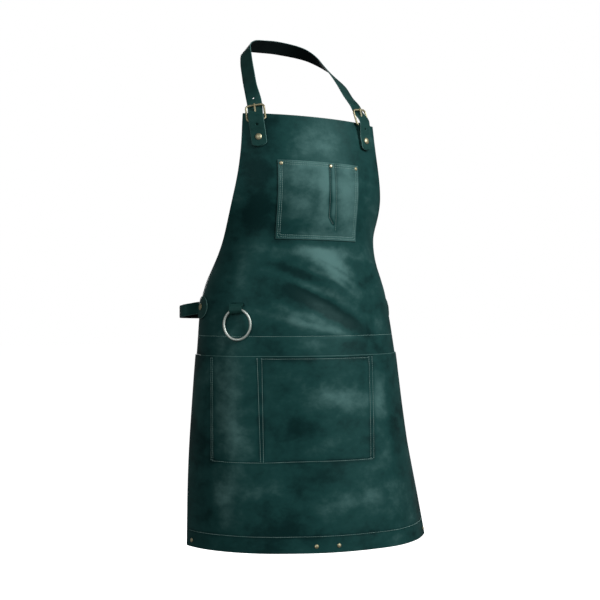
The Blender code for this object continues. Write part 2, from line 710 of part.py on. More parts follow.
def make_waist_strap():
    """Two straps from the paddles on the waist corners to a plain clasp behind."""
    level = -NECK_RISE - PADDLE_DROP
    radius = PADDLE_WIDTH / 2
    strap_half = WAIST_STRAP_WIDTH / 2
    for side, word in ((-1, "right"), (1, "left")):
        start = PADDLE_AT - radius
        on_hide = [start + (SKIRT_HALF - start) * i / 4 for i in range(5)]
        points, edges = [], []
        for across in on_hide:
            upper = worn(side * across, PADDLE_DROP - radius, paddle_lift())[0]
            lower = worn(side * across, PADDLE_DROP + radius, paddle_lift())[0]
            middle, normal = worn(side * across, PADDLE_DROP, paddle_lift())
            chord = (upper + lower) / 2
            points.append(chord + max(0.0, (middle - chord).dot(normal)) * normal)
            points[-1].z = level
            edges.append((upper - lower).normalized() * side)
        for turn in WAIST_ROUTE:
            back = turn.back * WAIST_BACK + WAIST_CORNER_BACK * (1 - turn.back)
            place = Vector((side * turn.out * WAIST_HALF_BREADTH, back - NAPE_BACK, level))
            place.z -= turn.fall * WAIST_STRAP_FALL
            points.append(place)
        end = Vector((side * STRAP_END_GAP / 2, WAIST_BACK - NAPE_BACK, level - WAIST_STRAP_FALL))
        straight = Vector((side * CLASP_LENGTH * 0.75, end.y, end.z))
        points += [straight, end]
        upright = Vector((0.0, 0.0, side))
        edges += [upright for _ in points[len(edges):]]
        centres, places, marks = smooth_path(points, STRAP_PITCH / 2)
        edge_dirs = directions_along(places, marks, edges)
        keep = [i for i, place in enumerate(places)
                if place < 2.6 * radius or i % 3 == 0 or i == len(places) - 1]
        halves = []
        for place in places:
            past = place + 0.0006
            if past < radius:
                half = math.sqrt(radius ** 2 - (radius - past) ** 2)
            else:
                ease = min(1.0, (past - radius) / (1.6 * radius))
                half = radius + (strap_half - radius) * ease * ease * (3 - 2 * ease)
            halves.append(float(half))
        band(
            f"waist_strap_{word}",
            [centres[i] for i in keep],
            [edge_dirs[i] for i in keep],
            [halves[i] for i in keep],
            LEATHER,
        )
    make_clasp(level - WAIST_STRAP_FALL)


def make_clasp(level):
    """A plain flat sleeve that joins the two ends of the waist strap."""
    y = WAIST_BACK - NAPE_BACK
    half = CLASP_LENGTH / 2
    deep = LEATHER / 2 + SEAT
    tall = WAIST_STRAP_WIDTH / 2 + SEAT

    def block(name, along, depth, height):
        corners = [(sx * along, y + sy * depth, level + sz * height)
                   for sx in (-1, 1) for sy in (-1, 1) for sz in (-1, 1)]
        faces = [(0, 1, 3, 2), (4, 6, 7, 5), (0, 4, 5, 1), (2, 3, 7, 6), (0, 2, 6, 4), (1, 5, 7, 3)]
        return solid(name, corners, faces, "brass")

    clasp = block("back_clasp", half, deep + CLASP_WALL, tall + CLASP_WALL)
    cut(clasp, block("cut_clasp", 2 * half, deep, tall))


def ring_in_loop():
    """How far the ring's wire curves down inside the loop, and the room that it needs."""
    wire_r = RING_WIRE / 2
    tall, wide = RING_HEIGHT / 2 - wire_r, RING_WIDTH / 2 - wire_r
    turn = math.asin(RING_LOOP_WIDTH / 2 / wide)
    dip = tall * (1 - math.cos(turn))
    slope = tall / wide * math.tan(turn)
    return dip, dip / 2 + wire_r * math.hypot(1.0, slope) + RING_PLAY


def make_ring(body):
    """The ring, the leather loop that holds it and the slit that the loop comes from."""
    dip, inside = ring_in_loop()
    outside = inside + LEATHER
    frame = Frame(-RING_AT, SLIT_DROP, RING_HEIGHT)
    out = SEAT + outside
    pivot = (out, -RING_LOOP_DROP)
    slit = SLIT_HEIGHT / 2
    tail = -RING_LOOP_DROP - RING_LOOP_TAIL
    behind = -LEATHER - 3 * SEAT
    back = behind - 2 * LEATHER
    over = pivot[1] + 2 * LEATHER
    outline = [(back, tail), (back, slit - SEAT), (out, slit - SEAT)]
    outline += arc((out, over), outside, 50, 0, 3)
    outline += arc(pivot, outside, 0, -180, 12)
    outline += [(out - outside, SEAT - slit), (behind, SEAT - slit), (behind, tail)]
    half = RING_LOOP_WIDTH / 2
    loop = prism("ring_loop", outline, frame, half, "leather")
    hollow = arc(pivot, inside, 0, -180, 12)
    hollow += arc((out, over - SEAT), inside, 180, 0, 8)
    cut(loop, prism("cut_loop", hollow, frame, 2 * half, "leather_edge"))
    through_hide = 10 * LEATHER
    opening = [(sx * through_hide, sy * slit) for sx, sy in ((-1, -1), (1, -1), (1, 1), (-1, 1))]
    cut(body, prism("cut_slit", opening, frame, half + SEAT, "leather_edge"))

    wire_r = RING_WIRE / 2
    tall = RING_HEIGHT / 2 - wire_r
    wide = RING_WIDTH / 2 - wire_r
    foot, _ = worn(-RING_AT, SLIT_DROP + RING_HEIGHT, LEATHER + wire_r + 2 * SEAT)
    centre = frame.at(0.0, pivot[1], pivot[0])
    hang = (foot - centre)
    hang -= hang.dot(frame.right) * frame.right
    hang.normalize()
    points = []
    for i in range(36):
        turn = 2 * math.pi * i / 36
        down = tall - tall * math.cos(turn) - dip / 2
        points.append(centre + wide * math.sin(turn) * frame.right + down * hang)
    wire("ring", points, wire_r, "nickel")


def build():
    clear_scene()
    body = make_hides()
    make_neck_strap()
    for side, word in ((-1, "right"), (1, "left")):
        make_chape(side, word)
        make_buckle(side, word)
    make_studs()
    make_waist_strap()
    make_ring(body)


build()
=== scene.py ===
"""Looks of a blacksmith's leather apron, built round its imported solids.

Metres, +Z up, the wearer's front faces -Y and the wearer's right is -X. The hide is worked
out as a worn form: a place on it is given by its distance round the body from the centre
line (across) and by its distance below the bib's top edge (down).
"""
import math
from collections import namedtuple

import bmesh
import bpy
import numpy as np
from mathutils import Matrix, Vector


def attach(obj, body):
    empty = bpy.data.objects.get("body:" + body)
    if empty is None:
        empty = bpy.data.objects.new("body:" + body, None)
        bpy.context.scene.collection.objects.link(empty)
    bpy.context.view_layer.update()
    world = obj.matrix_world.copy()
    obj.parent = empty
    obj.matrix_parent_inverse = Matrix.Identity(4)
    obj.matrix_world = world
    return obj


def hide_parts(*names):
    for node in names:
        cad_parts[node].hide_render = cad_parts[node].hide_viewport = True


# Whole apron
APRON_LENGTH = 0.842        # bib's top edge down to the hem
SKIRT_HALF = 0.300
BIB_HALF = 0.150
ARMHOLE_HEIGHT = 0.365      # bib's top edge down to the waist corners
NECK_RISE = 0.171           # bib's top edge up to the nape
NAPE_BACK = 0.090           # body's upright axis back to the nape
CHEST_BREADTH = 0.360
CHEST_DEPTH = 0.240
BIB_TILT = 0.040            # fall of the bib's top edge towards the wearer's left
TILT_REACH = 0.5            # share of APRON_LENGTH over which that fades
LEATHER = 0.0020
CHAPE_LEATHER = 0.0015
GAP = 0.0003
SEAT = 0.0006               # clearance of a small flat piece on the curved hide

# Pockets
POCKET_HALF = 0.087
POCKET_HEIGHT = 0.152
POCKET_DROP = 0.090         # bib's top edge to the chest pocket's mouth
SKIRT_PANEL_DROP = 0.468    # bib's top edge to the skirt panel's mouth

# Neck strap and its buckles
STRAP_WIDTH = 0.030
STRAP_AT = 0.124
RIGHT_STRAP_LEAN = 4.5
LEFT_STRAP_LEAN = 9.0
LEFT_STRAP_SHARE = 0.86
STRAP_SLIP = 0.006
STRAP_HOLE = 0.0036
STRAP_HOLE_PITCH = 0.028
PRONG_HOLE_RISE = 0.0090    # bib's top edge up to the hole that the prong is in
PRONG_HOLE_AT = 0.076       # strap's tip to that hole, along the strap
TIP_BELOW_BIB = 0.062
TIP_POINT = 0.006
TIP_BLUNT = 0.0003          # how far short of a sharp point the strap's tips end
BUCKLE_WIRE = 0.0040
BUCKLE_INSIDE = 0.032
BUCKLE_PITCH = 0.031
BUCKLE_CORNER = 0.006
LOWER_BAR_DROP = 0.009
PRONG_THICK = 0.0020
PUNCH_REACH = 0.008         # half the length of a punch
PUNCH_START = 0.004         # bib's face to where the low punch starts
PRONG_PUNCH = (0.004, 0.006)  # up and out half lengths of the punch along the prong
BEHIND_BIB = 0.0036         # strap's middle behind the bib's face at the top bar

# Waist strap
WAIST_STRAP_WIDTH = 0.024
PADDLE_WIDTH = 0.046
PADDLE_BLUNT = 0.0004       # the same at the round ends of the waist straps
PADDLE_AT = 0.252
PADDLE_DROP = 0.3745
PADDLE_NECK = 1.6           # length of its narrowing as a share of its half width
WAIST_HALF_BREADTH = 0.222
WAIST_BACK = 0.165
WAIST_STRAP_FALL = 0.014
WAIST_CORNER_BACK = 0.045   # body's upright axis back to where the straps leave the hide
STRAP_END_GAP = 0.0020
CLASP_LENGTH = 0.046
CLASP_LEAD = 0.75           # start of the straight run at the clasp, as a share of its length

# Ring in its leather loop
RING_AT = 0.162
SLIT_DROP = 0.370
SLIT_HEIGHT = 0.0040        # less than the solid's, so that no backdrop shows through it
RING_LOOP_WIDTH = 0.025
RING_LOOP_DROP = 0.011
RING_WIDTH = 0.058
RING_HEIGHT = 0.064
RING_WIRE = 0.0050
RING_PLAY = 0.0004

# Studs and rivets
STRAP_STUD = 0.0130
WAIST_STUD = 0.0130
POCKET_RIVET = 0.0072
HEM_STUD = 0.0080
STRAP_STUD_DROP = 0.043
HEM_STUD_INSET = 0.013
HEM_STUD_CORNER = 0.020
HEM_STUD_PAIR = 0.044
RIVET_INSET = 0.0065
MIDDLE_RIVET = 0.23         # share of the pocket's half width
DOME = 0.25                 # height of a domed head as a share of its width

# Stitching
STITCH = 0.0030
STITCH_PITCH = 0.0042
THREAD = 0.00095
THREAD_SINK = 0.00025       # hide's face down to the middle of the stitches
ROW_INSET = 0.0040          # outer row of stitches in from a pocket's edge
SEAM_STEP = 0.0008          # mesh pitch beside a stitch line
SEAM_DENT = 0.00035         # depth and reach of the dent that a stitch line draws
SEAM_REACH = 0.0012
POCKET_DENT = 0.00040
POCKET_REACH = 0.0011
PEN_DENT = 0.0006           # and of the pen compartment's creases
PEN_REACH = 0.0022

# Swell of the pockets between their stitch lines
SKIRT_SWELL = 0.0006
SKIRT_MOUTH_SWELL = 0.0022
SKIRT_SWELL_REACH = 0.022   # from a stitch line to the full swell
SKIRT_MOUTH_REACH = 0.08
SKIRT_SWELL_HALF = 0.6      # width over which it fades, as a share of SKIRT_HALF
SKIRT_SWELL_TOP = 1.25      # its share at the middle before it is cut to 1
POCKET_SWELL = 0.0022
POCKET_MOUTH_SWELL = 0.0012
POCKET_MOUTH_REACH = 0.020
POCKET_SIDE_RISE = 0.020
POCKET_FOOT_RISE = 0.022
PEN_DIP = 0.8               # share of the swell that the pen compartment's creases take
PEN_DIP_REACH = 0.006

# Tone of the hide, where 1 is fully pale, with its painted highlights and painted shade
HIDE_TONE = 0.34
# A fold's crown adds painted highlight to the tone and its hollow adds painted shade.
FOLD_FOR_PAINTED_LIGHT = 0.016       # height of a fold or crease that adds 1 to the tone
CREASE_FOR_PAINTED_LIGHT = 0.003
PATCH_FALL = 0.8            # how fast a patch fades from its middle
PLAIN_TONE = 0.45           # of leather without patches
# Painted shade along the skirt's stitch lines, and its reach.
SKIRT_SEAM_SHADE = -0.45
SKIRT_SEAM_SHADE_REACH = 0.004
POCKET_TONE = 0.82
# Painted shade along the pen compartment's crease and divider, and its reach.
PEN_CREASE_SHADE = -1.6
PEN_DIVIDER_SHADE = -0.5
PEN_SHADE_REACH = 0.0024

# Studio
BACKDROP = 1.0              # brightness of the backdrop as seen
SOFT_LIGHT = 0.12           # light that the studio's walls give back
FLOOR_LEVEL = -1.45
FLOOR_HALF = 20.0
CAMERA_AT = (-1.0049, -2.4010, -0.521)
CAMERA_AHEAD = (0.39875, 0.91706, 0.0)
CAMERA_LENS = 73.86
CAMERA_SHIFT = (0.0058, -0.0083)
Light = namedtuple("Light", "name spot aim size power")
LIGHTS = (
    Light("key", (1.5, -2.3, 0.9), (0.0, -0.1, -0.45), 1.3, 58),
    Light("fill", (-2.0, -2.2, 0.4), (0.0, -0.1, -0.5), 1.6, 14),
    Light("back", (0.6, 2.4, 0.3), (0.0, 0.0, -0.5), 1.6, 40),
)

WIRE_R = BUCKLE_WIRE / 2
CELL = 0.0045               # mesh pitch of the hides
POCKET_CELL = 0.0030
STRAP_CELL = 0.0030
WIRE_CELL = 0.0030
LEVEL = 0.003               # a stitch line that falls less than this runs level
RIM_REACH = 1.3             # of the pale rim, burnished and painted highlight, as a share of the edge's radius
MERGE = 2e-6                # points closer than this become one
EDGE_STEPS = (0.0, 0.15, 0.45, 1.0)  # grid lines on a rounded edge, as shares of its radius
POCKET_FOOT = POCKET_DROP + POCKET_HEIGHT
ROWS = (ROW_INSET, 2 * ROW_INSET)
SIDES = ((-1, "right"), (1, "left"))
Bars = namedtuple("Bars", "lower over upper")

# A stitch from end to end: place along it, then width and height as shares of THREAD.
STITCH_PROFILE = (
    (0.00, 0.35, -0.50),
    (0.16, 0.90, 0.10),
    (0.50, 1.00, 0.45),
    (0.84, 0.90, 0.10),
    (1.00, 0.35, -0.50),
)
STITCH_SIDES = 6
STITCH_LEAN = 0.00012       # spread of the stitches' lean to either side
# A domed head from its seat up: reach as a share of its width, then its height.
DOME_PROFILE = (
    (0.470, 0.00),
    (0.500, 0.10),
    (0.500, 0.26),
    (0.475, 0.40),
    (0.440, 0.50),
    (0.360, 0.70),
    (0.260, 0.87),
    (0.140, 0.97),
    (0.050, 1.00),
)
DOME_SIDES = 28
Section = namedtuple("Section", "down breadth depth turn sway")
SECTIONS = (
    Section(0.000, 0.980, 0.860, 0.0, 0.000),
    Section(0.172, 1.030, 1.000, 0.0, 0.000),
    Section(0.287, 0.910, 0.900, 0.0, 0.000),
    Section(0.425, 1.090, 0.960, 0.5, -0.006),
    Section(0.552, 1.160, 1.080, 2.0, 0.005),
    Section(0.677, 1.220, 1.180, 4.0, 0.015),
    Section(0.798, 1.290, 1.290, 6.0, 0.025),
    Section(1.000, 1.400, 1.510, 9.0, 0.042),
)
Edge = namedtuple("Edge", "down out")
ARMHOLE = (
    Edge(0.00, 0.000),
    Edge(0.20, 0.055),
    Edge(0.40, 0.153),
    Edge(0.66, 0.353),
    Edge(0.84, 0.620),
    Edge(1.00, 1.000),
)

# Folds of the worn hide. across is a share of SKIRT_HALF, down of APRON_LENGTH, height
# and width of CHEST_BREADTH.
Fold = namedtuple("Fold", "across down to_across to_down height width")
FOLDS = (
    Fold(-0.12, 0.320, 0.27, 0.430, 0.016, 0.075),
    Fold(-0.05, 0.400, 0.18, 0.462, -0.012, 0.060),
    Fold(0.34, 0.300, 0.62, 0.400, 0.014, 0.070),
    Fold(-0.34, 0.300, -0.60, 0.385, 0.012, 0.070),
    Fold(-0.56, 0.470, -0.60, 0.900, 0.017, 0.100),
    Fold(0.45, 0.600, 0.52, 1.020, 0.020, 0.120),
    Fold(-0.18, 0.640, -0.22, 1.020, -0.012, 0.110),
    Fold(0.86, 0.620, 0.90, 1.020, -0.016, 0.100),
)
FOLD_END = 0.35             # height at a fold's ends as a share of its middle's
# Creases that are too fine for the solids, in the same shares.
CREASES = (
    Fold(-0.02, 0.318, 0.24, 0.372, 0.0045, 0.028),
    Fold(-0.10, 0.350, 0.20, 0.408, -0.0040, 0.024),
    Fold(-0.16, 0.385, 0.06, 0.425, 0.0035, 0.022),
    Fold(0.08, 0.430, 0.36, 0.470, 0.0040, 0.030),
    Fold(-0.24, 0.450, -0.08, 0.500, 0.0040, 0.030),
    Fold(0.52, 0.250, 0.60, 0.330, 0.0040, 0.030),
    Fold(0.40, 0.500, 0.46, 0.545, -0.0035, 0.030),
)
# Pale patches, partly where the waxed hide shows pull-up and rubbing and partly painted
# highlights, and dark ones that are painted shade (pale below 0). width and height are shares
# of SKIRT_HALF, turn is in degrees.
Patch = namedtuple("Patch", "across down width height turn pale")
PULL_UP_AND_LIGHT_PATCHES = (
    Patch(0.00, 0.050, 0.26, 0.18, 15, 0.50),
    Patch(-0.56, 0.170, 0.05, 0.35, -8, 0.50),
    Patch(-0.44, 0.200, 0.11, 0.40, 8, -0.80),
    Patch(0.19, 0.185, 0.065, 0.15, 0, 0.80),
    Patch(0.02, 0.170, 0.030, 0.17, 3, 0.50),
    Patch(-0.22, 0.262, 0.09, 0.05, 0, -0.60),
    Patch(0.00, 0.316, 0.27, 0.038, 3, 1.40),
    Patch(0.12, 0.336, 0.16, 0.030, 24, 0.85),
    Patch(0.13, 0.362, 0.17, 0.026, 30, 0.95),
    Patch(-0.02, 0.362, 0.12, 0.018, 22, 0.55),
    Patch(0.16, 0.388, 0.12, 0.018, 34, 0.70),
    Patch(-0.18, 0.360, 0.17, 0.026, 19, -0.60),
    Patch(0.10, 0.349, 0.14, 0.010, 27, -0.45),
    Patch(0.00, 0.405, 0.22, 0.034, 20, 0.80),
    Patch(0.04, 0.443, 0.21, 0.040, 27, -2.00),
    Patch(-0.04, 0.470, 0.22, 0.024, 20, 0.80),
    Patch(0.00, 0.492, 0.24, 0.024, 14, 1.10),
    Patch(-0.30, 0.487, 0.10, 0.035, 10, -0.50),
    Patch(-0.05, 0.531, 0.09, 0.055, 0, 0.60),
    Patch(-0.51, 0.362, 0.045, 0.16, 0, 0.45),
    Patch(0.48, 0.480, 0.06, 0.040, 40, 0.50),
    Patch(0.66, 0.270, 0.03, 0.40, 3, 0.75),
    Patch(-0.60, 0.690, 0.06, 0.40, 0, 0.65),
    Patch(-0.22, 0.605, 0.15, 0.06, 0, 0.45),
    Patch(0.13, 0.655, 0.22, 0.065, 8, 1.15),
    Patch(-0.14, 0.715, 0.14, 0.05, -12, -0.50),
    Patch(0.05, 0.755, 0.20, 0.05, -8, 0.60),
    Patch(0.42, 0.640, 0.05, 0.16, 0, 0.50),
    Patch(0.56, 0.720, 0.07, 0.20, 0, -0.50),
    Patch(-0.32, 0.850, 0.16, 0.13, 0, 0.45),
    Patch(0.15, 0.890, 0.22, 0.075, -15, 0.75),
    Patch(-0.66, 0.885, 0.06, 0.14, 10, 0.70),
    Patch(-0.70, 0.660, 0.06, 0.35, 0, 0.40),
    Patch(-0.30, 0.945, 0.20, 0.03, 0, -0.40),
)
Route = namedtuple("Route", "rise right left slip back right_edge left_edge")
NECK_ROUTE = (
    Route(0.345, 0.977, 0.738, 0.025, -0.570, (0.55, 0.80, 0.15), (0.85, 0.30, 0.15)),
    Route(0.550, 0.917, 0.731, 0.058, -0.200, (0.55, 0.75, 0.30), (0.95, 0.30, 0.28)),
    Route(0.740, 0.862, 0.692, 0.115, 0.111, (0.55, 0.70, 0.46), (0.88, 0.45, 0.40)),
    Route(0.877, 0.800, 0.640, 0.149, 0.333, (0.40, 0.68, 0.60), (0.75, 0.60, 0.40)),
    Route(0.948, 0.640, 0.610, 0.137, 0.580, (0.25, 0.66, 0.70), (0.55, 0.70, 0.50)),
    Route(0.985, 0.370, 0.450, 0.066, 0.830, (0.10, 0.64, 0.76), (0.31, 0.68, 0.66)),
)
NAPE_EDGE = Vector((0.0, -0.62, 0.78))
Bend = namedtuple("Bend", "out up")
STRAP_BENDS = (
    Bend(0.720, 0.140),
    Bend(0.330, 0.390),
    Bend(-0.065, 0.610),
)
Turn = namedtuple("Turn", "out back fall")
WAIST_ROUTE = (
    Turn(1.000, 0.100, 0.45),
    Turn(0.985, 0.420, 0.72),
    Turn(0.860, 0.720, 0.85),
    Turn(0.560, 0.930, 0.95),
    Turn(0.260, 0.995, 1.00),
)

# Stitch lines of the chest pocket, across in shares of POCKET_HALF and down in shares of
# POCKET_HEIGHT below the pocket's mouth.
Seam = namedtuple("Seam", "across down to_across to_down")
PEN_CREASE = (
    Seam(0.205, 0.040, 0.215, 0.700),
    Seam(0.215, 0.700, 0.330, 0.790),
)
PEN_DIVIDER = (Seam(0.345, 0.010, 0.400, 0.870),)
# Stitch lines of the skirt, across in shares of SKIRT_HALF and down in shares of
# APRON_LENGTH: those that close its pockets, and the two that run along its edges.
SKIRT_POCKET_SEAMS = (
    Seam(-0.742, 0.560, -0.750, 0.797),
    Seam(-0.728, 0.560, -0.736, 0.797),
    Seam(-0.427, 0.560, -0.416, 0.797),
    Seam(-0.398, 0.560, -0.398, 0.797),
    Seam(0.355, 0.560, 0.324, 0.797),
    Seam(0.382, 0.560, 0.346, 0.797),
    Seam(-0.745, 0.797, -0.407, 0.798),
    Seam(-0.407, 0.798, -0.095, 0.796),
    Seam(-0.095, 0.796, 0.340, 0.797),
)
SKIRT_EDGE_SEAMS = (
    Seam(-0.396, 0.5625, 0.350, 0.5630),
    Seam(-0.970, 0.963, 0.970, 0.963),
)
SKIRT_SEAMS = SKIRT_POCKET_SEAMS + SKIRT_EDGE_SEAMS
WAIST_SEAM = Seam(-0.970, 0.511, 0.970, 0.511)


def column(rows, name):
    return np.array([getattr(row, name) for row in rows])


def through(x, xs, ys):
    """A smooth curve through the points (xs, ys), read at x."""
    slopes = np.gradient(ys, xs)
    x = np.clip(x, xs[0], xs[-1])
    i = np.clip(np.searchsorted(xs, x) - 1, 0, len(xs) - 2)
    step = xs[i + 1] - xs[i]
    t = (x - xs[i]) / step
    start = (1 + 2 * t) * (1 - t) ** 2 * ys[i] + t * (1 - t) ** 2 * step * slopes[i]
    end = t * t * (3 - 2 * t) * ys[i + 1] + t * t * (t - 1) * step * slopes[i + 1]
    return start + end


def half_width(down):
    """Half of the hide's flat width at a distance below the bib's top edge."""
    share = through(down / ARMHOLE_HEIGHT, column(ARMHOLE, "down"), column(ARMHOLE, "out"))
    return BIB_HALF + (SKIRT_HALF - BIB_HALF) * share


def fold_height(across, down, folds):
    """How far the folds lift the hide off its plain form."""
    lift = np.zeros_like(across)
    for fold in folds:
        start = np.array((fold.across * SKIRT_HALF, fold.down * APRON_LENGTH))
        run = np.array((fold.to_across * SKIRT_HALF, fold.to_down * APRON_LENGTH)) - start
        along = (across - start[0]) * run[0] + (down - start[1]) * run[1]
        along = np.clip(along / run.dot(run), 0.0, 1.0)
        away = np.hypot(across - start[0] - along * run[0], down - start[1] - along * run[1])
        swell = FOLD_END + (1 - FOLD_END) * np.sin(np.pi * along)
        lift += fold.height * swell * np.exp(-(away / (fold.width * CHEST_BREADTH)) ** 2)
    return lift * CHEST_BREADTH


def worn(across, down, lift=0.0):
    """Points of the hide's inner face, lifted outward, and the level outward directions."""
    across, down, lift = np.broadcast_arrays(across, down, lift)
    shape = across.shape
    across, down, lift = (np.array(v, float).ravel() for v in (across, down, lift))
    share = down / APRON_LENGTH
    shares = column(SECTIONS, "down")
    half = CHEST_BREADTH / 2 * through(share, shares, column(SECTIONS, "breadth"))
    deep = CHEST_DEPTH / 2 * through(share, shares, column(SECTIONS, "depth"))
    turn = -np.radians(through(share, shares, column(SECTIONS, "turn")))
    sway = CHEST_BREADTH * through(share, shares, column(SECTIONS, "sway"))
    angle = np.zeros_like(across)
    angles = np.linspace(0.0, math.pi, 361)
    _, first, which = np.unique(down, return_index=True, return_inverse=True)
    for number, at in enumerate(first):
        here = which == number
        speed = np.hypot(half[at] * np.cos(angles), deep[at] * np.sin(angles))
        length = np.concatenate(((0.0,), np.cumsum((speed[1:] + speed[:-1]) / 2) * angles[1]))
        angle[here] = np.interp(np.abs(across[here]), length, angles)
    angle = np.copysign(angle, across)
    out = np.stack((deep * np.sin(angle), -half * np.cos(angle)))
    out /= np.linalg.norm(out, axis=0)
    lift = lift + fold_height(across, down, FOLDS + CREASES)
    x, y = half * np.sin(angle) + out[0] * lift, -deep * np.cos(angle) + out[1] * lift
    cos, sin = np.cos(turn), np.sin(turn)
    x, y = x * cos - y * sin, x * sin + y * cos
    fall = down + BIB_TILT * x * np.maximum(0.0, 1.0 - share / TILT_REACH)
    points = np.stack((x + sway, y - NAPE_BACK, -NECK_RISE - fall), axis=-1)
    normals = np.stack((out[0] * cos - out[1] * sin, out[0] * sin + out[1] * cos, 0 * x), axis=-1)
    return points.reshape(*shape, 3), normals.reshape(*shape, 3)


def place(across, down, lift=0.0):
    point, normal = worn(across, down, lift)
    return Vector(point), Vector(normal)


def true_normal(across, down, span):
    """The hide's own outward direction, folds included."""
    low = min(down + span, APRON_LENGTH)
    side = place(across + span, down)[0] - place(across - span, down)[0]
    return side.cross(place(across, down - span)[0] - place(across, low)[0]).normalized()


class Frame:
    """A flat place on the hide: right along it, up it, and out of it."""

    def __init__(self, across, down, span, lift=LEATHER, lean=0.0, slide=0.0):
        self.origin, flat = place(across, down, lift)
        below = place(across, down + span, lift)[0]
        up = (self.origin - below).normalized()
        right = up.cross(flat).normalized()
        cos, sin = math.cos(math.radians(lean)), math.sin(math.radians(lean))
        self.up = cos * up - sin * right
        self.right = cos * right + sin * up
        self.out = self.right.cross(self.up).normalized()
        self.origin += slide * self.up

    def at(self, right, up, out):
        return self.origin + right * self.right + up * self.up + out * self.out


def bib_frame(side):
    """The place of a buckle on the bib's top edge."""
    across = STRAP_AT if side < 0 else LEFT_STRAP_SHARE * STRAP_AT
    lean = RIGHT_STRAP_LEAN if side < 0 else LEFT_STRAP_LEAN
    lift = LEATHER + SEAT - GAP
    return Frame(side * across, 0.0, TIP_BELOW_BIB, lift, lean, side * STRAP_SLIP)


# Shader maths

class Shade:
    """A socket of a material's nodes, for writing shader maths as expressions."""

    def __init__(self, tree, socket):
        self.tree = tree
        self.socket = socket

    def node(self, kind, settings=(), **values):
        """A new node: settings first, then the values or links of its sockets."""
        made = self.tree.nodes.new(kind)
        for name, value in dict(settings).items():
            if name == "stops":
                ramp = made.color_ramp
                while len(ramp.elements) < len(value):
                    ramp.elements.new(0.5)
                for element, (position, colour) in zip(ramp.elements, value):
                    element.position = position
                    element.color = colour
            else:
                setattr(made, name, value)
        for name, value in values.items():
            key = int(name[1:]) if name[0] == "_" else name.replace("_", " ")
            socket = made.inputs[key]
            if isinstance(value, Shade):
                self.tree.links.new(value.socket, socket)
            else:
                socket.default_value = value
        return made

    def of(self, kind, output, settings=(), **values):
        return Shade(self.tree, self.node(kind, settings, **values).outputs[output])

    def maths(self, operation, *values):
        sockets = {f"_{i}": value for i, value in enumerate(values)}
        return self.of("ShaderNodeMath", 0, {"operation": operation}, **sockets)

    def __add__(self, other):
        return self.maths("ADD", self, other)

    def __radd__(self, other):
        return self.maths("ADD", other, self)

    def __sub__(self, other):
        return self.maths("SUBTRACT", self, other)

    def __rsub__(self, other):
        return self.maths("SUBTRACT", other, self)

    def __mul__(self, other):
        return self.maths("MULTIPLY", self, other)

    def __rmul__(self, other):
        return self.maths("MULTIPLY", other, self)

    def between(self, low, high):
        """0 below low, 1 above high and smooth between them."""
        return self.of("ShaderNodeMapRange", 0, {"interpolation_type": "SMOOTHSTEP"},
                       Value=self, From_Min=low, From_Max=high)

    def mix(self, first, second):
        """first where this is 0, second where it is 1, both colours."""
        return self.of("ShaderNodeMix", 2, {"data_type": "RGBA"}, _0=self, _6=first, _7=second)


def new_material(name, **fixed):
    """A material, its first socket to write from, and its surface shader."""
    made = bpy.data.materials.new(name)
    made.use_nodes = True
    surface = made.node_tree.nodes["Principled BSDF"]
    for socket, value in fixed.items():
        surface.inputs[socket.replace("_", " ")].default_value = value
    where = Shade(made.node_tree, None)
    return made, where.of("ShaderNodeTexCoord", "Object"), surface


def feed(surface, shade, socket):
    shade.tree.links.new(shade.socket, surface.inputs[socket])


def noise(where, scale, detail=3.0, rough=0.5, distort=0.0):
    return where.of("ShaderNodeTexNoise", "Fac", Vector=where, Scale=scale, Detail=detail,
                    Roughness=rough, Distortion=distort)


def colour(red, green, blue):
    return (red, green, blue, 1.0)


SHEEN = (0.45, 0.90, 0.86, 1.0)         # the wax's tint in the hide's reflections
# Pale rim of the raw edges: their own burnished colour, made paler still as painted highlight.
RAW_EDGE_AND_HIGHLIGHT = (0.140, 0.280, 0.262)


def hide_material(name, dark, middle, pale, rough, patched):
    """Waxed hide: pull-up patches with painted highlights and shade, fine grain, scuffs, and
    burnished edges with a painted highlight.
    """
    made, where, surface = new_material(name, Specular_IOR_Level=0.17, Specular_Tint=SHEEN)
    drawn = where.of("ShaderNodeMapping", "Vector", Vector=where, Scale=(1.0, 1.0, 1.35))
    clouds = noise(drawn, 11.0, 3.0, 0.50, 0.35)
    streaks = noise(drawn, 34.0, 4.0, 0.55, 0.30)
    smears = noise(drawn, 110.0, 4.0, 0.6, 0.30)
    # This attribute carries the hide's tone: pull-up mixed with painted highlights and painted
    # shade.
    pulled = where.of("ShaderNodeAttribute", "Fac", {"attribute_name": "pulled"})
    rim = where.of("ShaderNodeAttribute", "Fac", {"attribute_name": "rim"})
    share = (clouds - 0.5) * 2.1 + (streaks - 0.5) * 1.3 + (smears - 0.5) * 0.5
    share = share + (pulled if patched else PLAIN_TONE)
    low = share.between(-0.35, 0.60)
    high = share.between(0.45, 2.10)
    shade = high.mix(low.mix(colour(*dark), colour(*middle)), colour(*pale))
    speck = noise(where, 900.0, 2.0, 0.5).between(0.60, 0.72) * 0.25
    shade = speck.mix(shade, colour(*middle))
    # Pale rim along the edges, partly burnished colour and partly painted highlight.
    shade = (rim * 0.75).mix(shade, colour(*RAW_EDGE_AND_HIGHLIGHT))
    feed(surface, shade, "Base Color")
    scuffs = noise(where, 120.0, 5.0, 0.6)
    feed(surface, rough + (scuffs - 0.5) * 0.22 + high * 0.07 - rim * 0.10, "Roughness")
    pebbles = where.of("ShaderNodeTexVoronoi", "Distance", {"feature": "SMOOTH_F1"},
                       Vector=where, Scale=620.0, Smoothness=0.6)
    grain = pebbles * 0.5 + noise(where, 260.0, 4.0, 0.6) * 0.6 + noise(where, 55.0, 3.0) * 0.9
    bump = where.of("ShaderNodeBump", "Normal", Strength=0.30, Distance=0.0006, Height=grain)
    feed(surface, bump, "Normal")
    return made


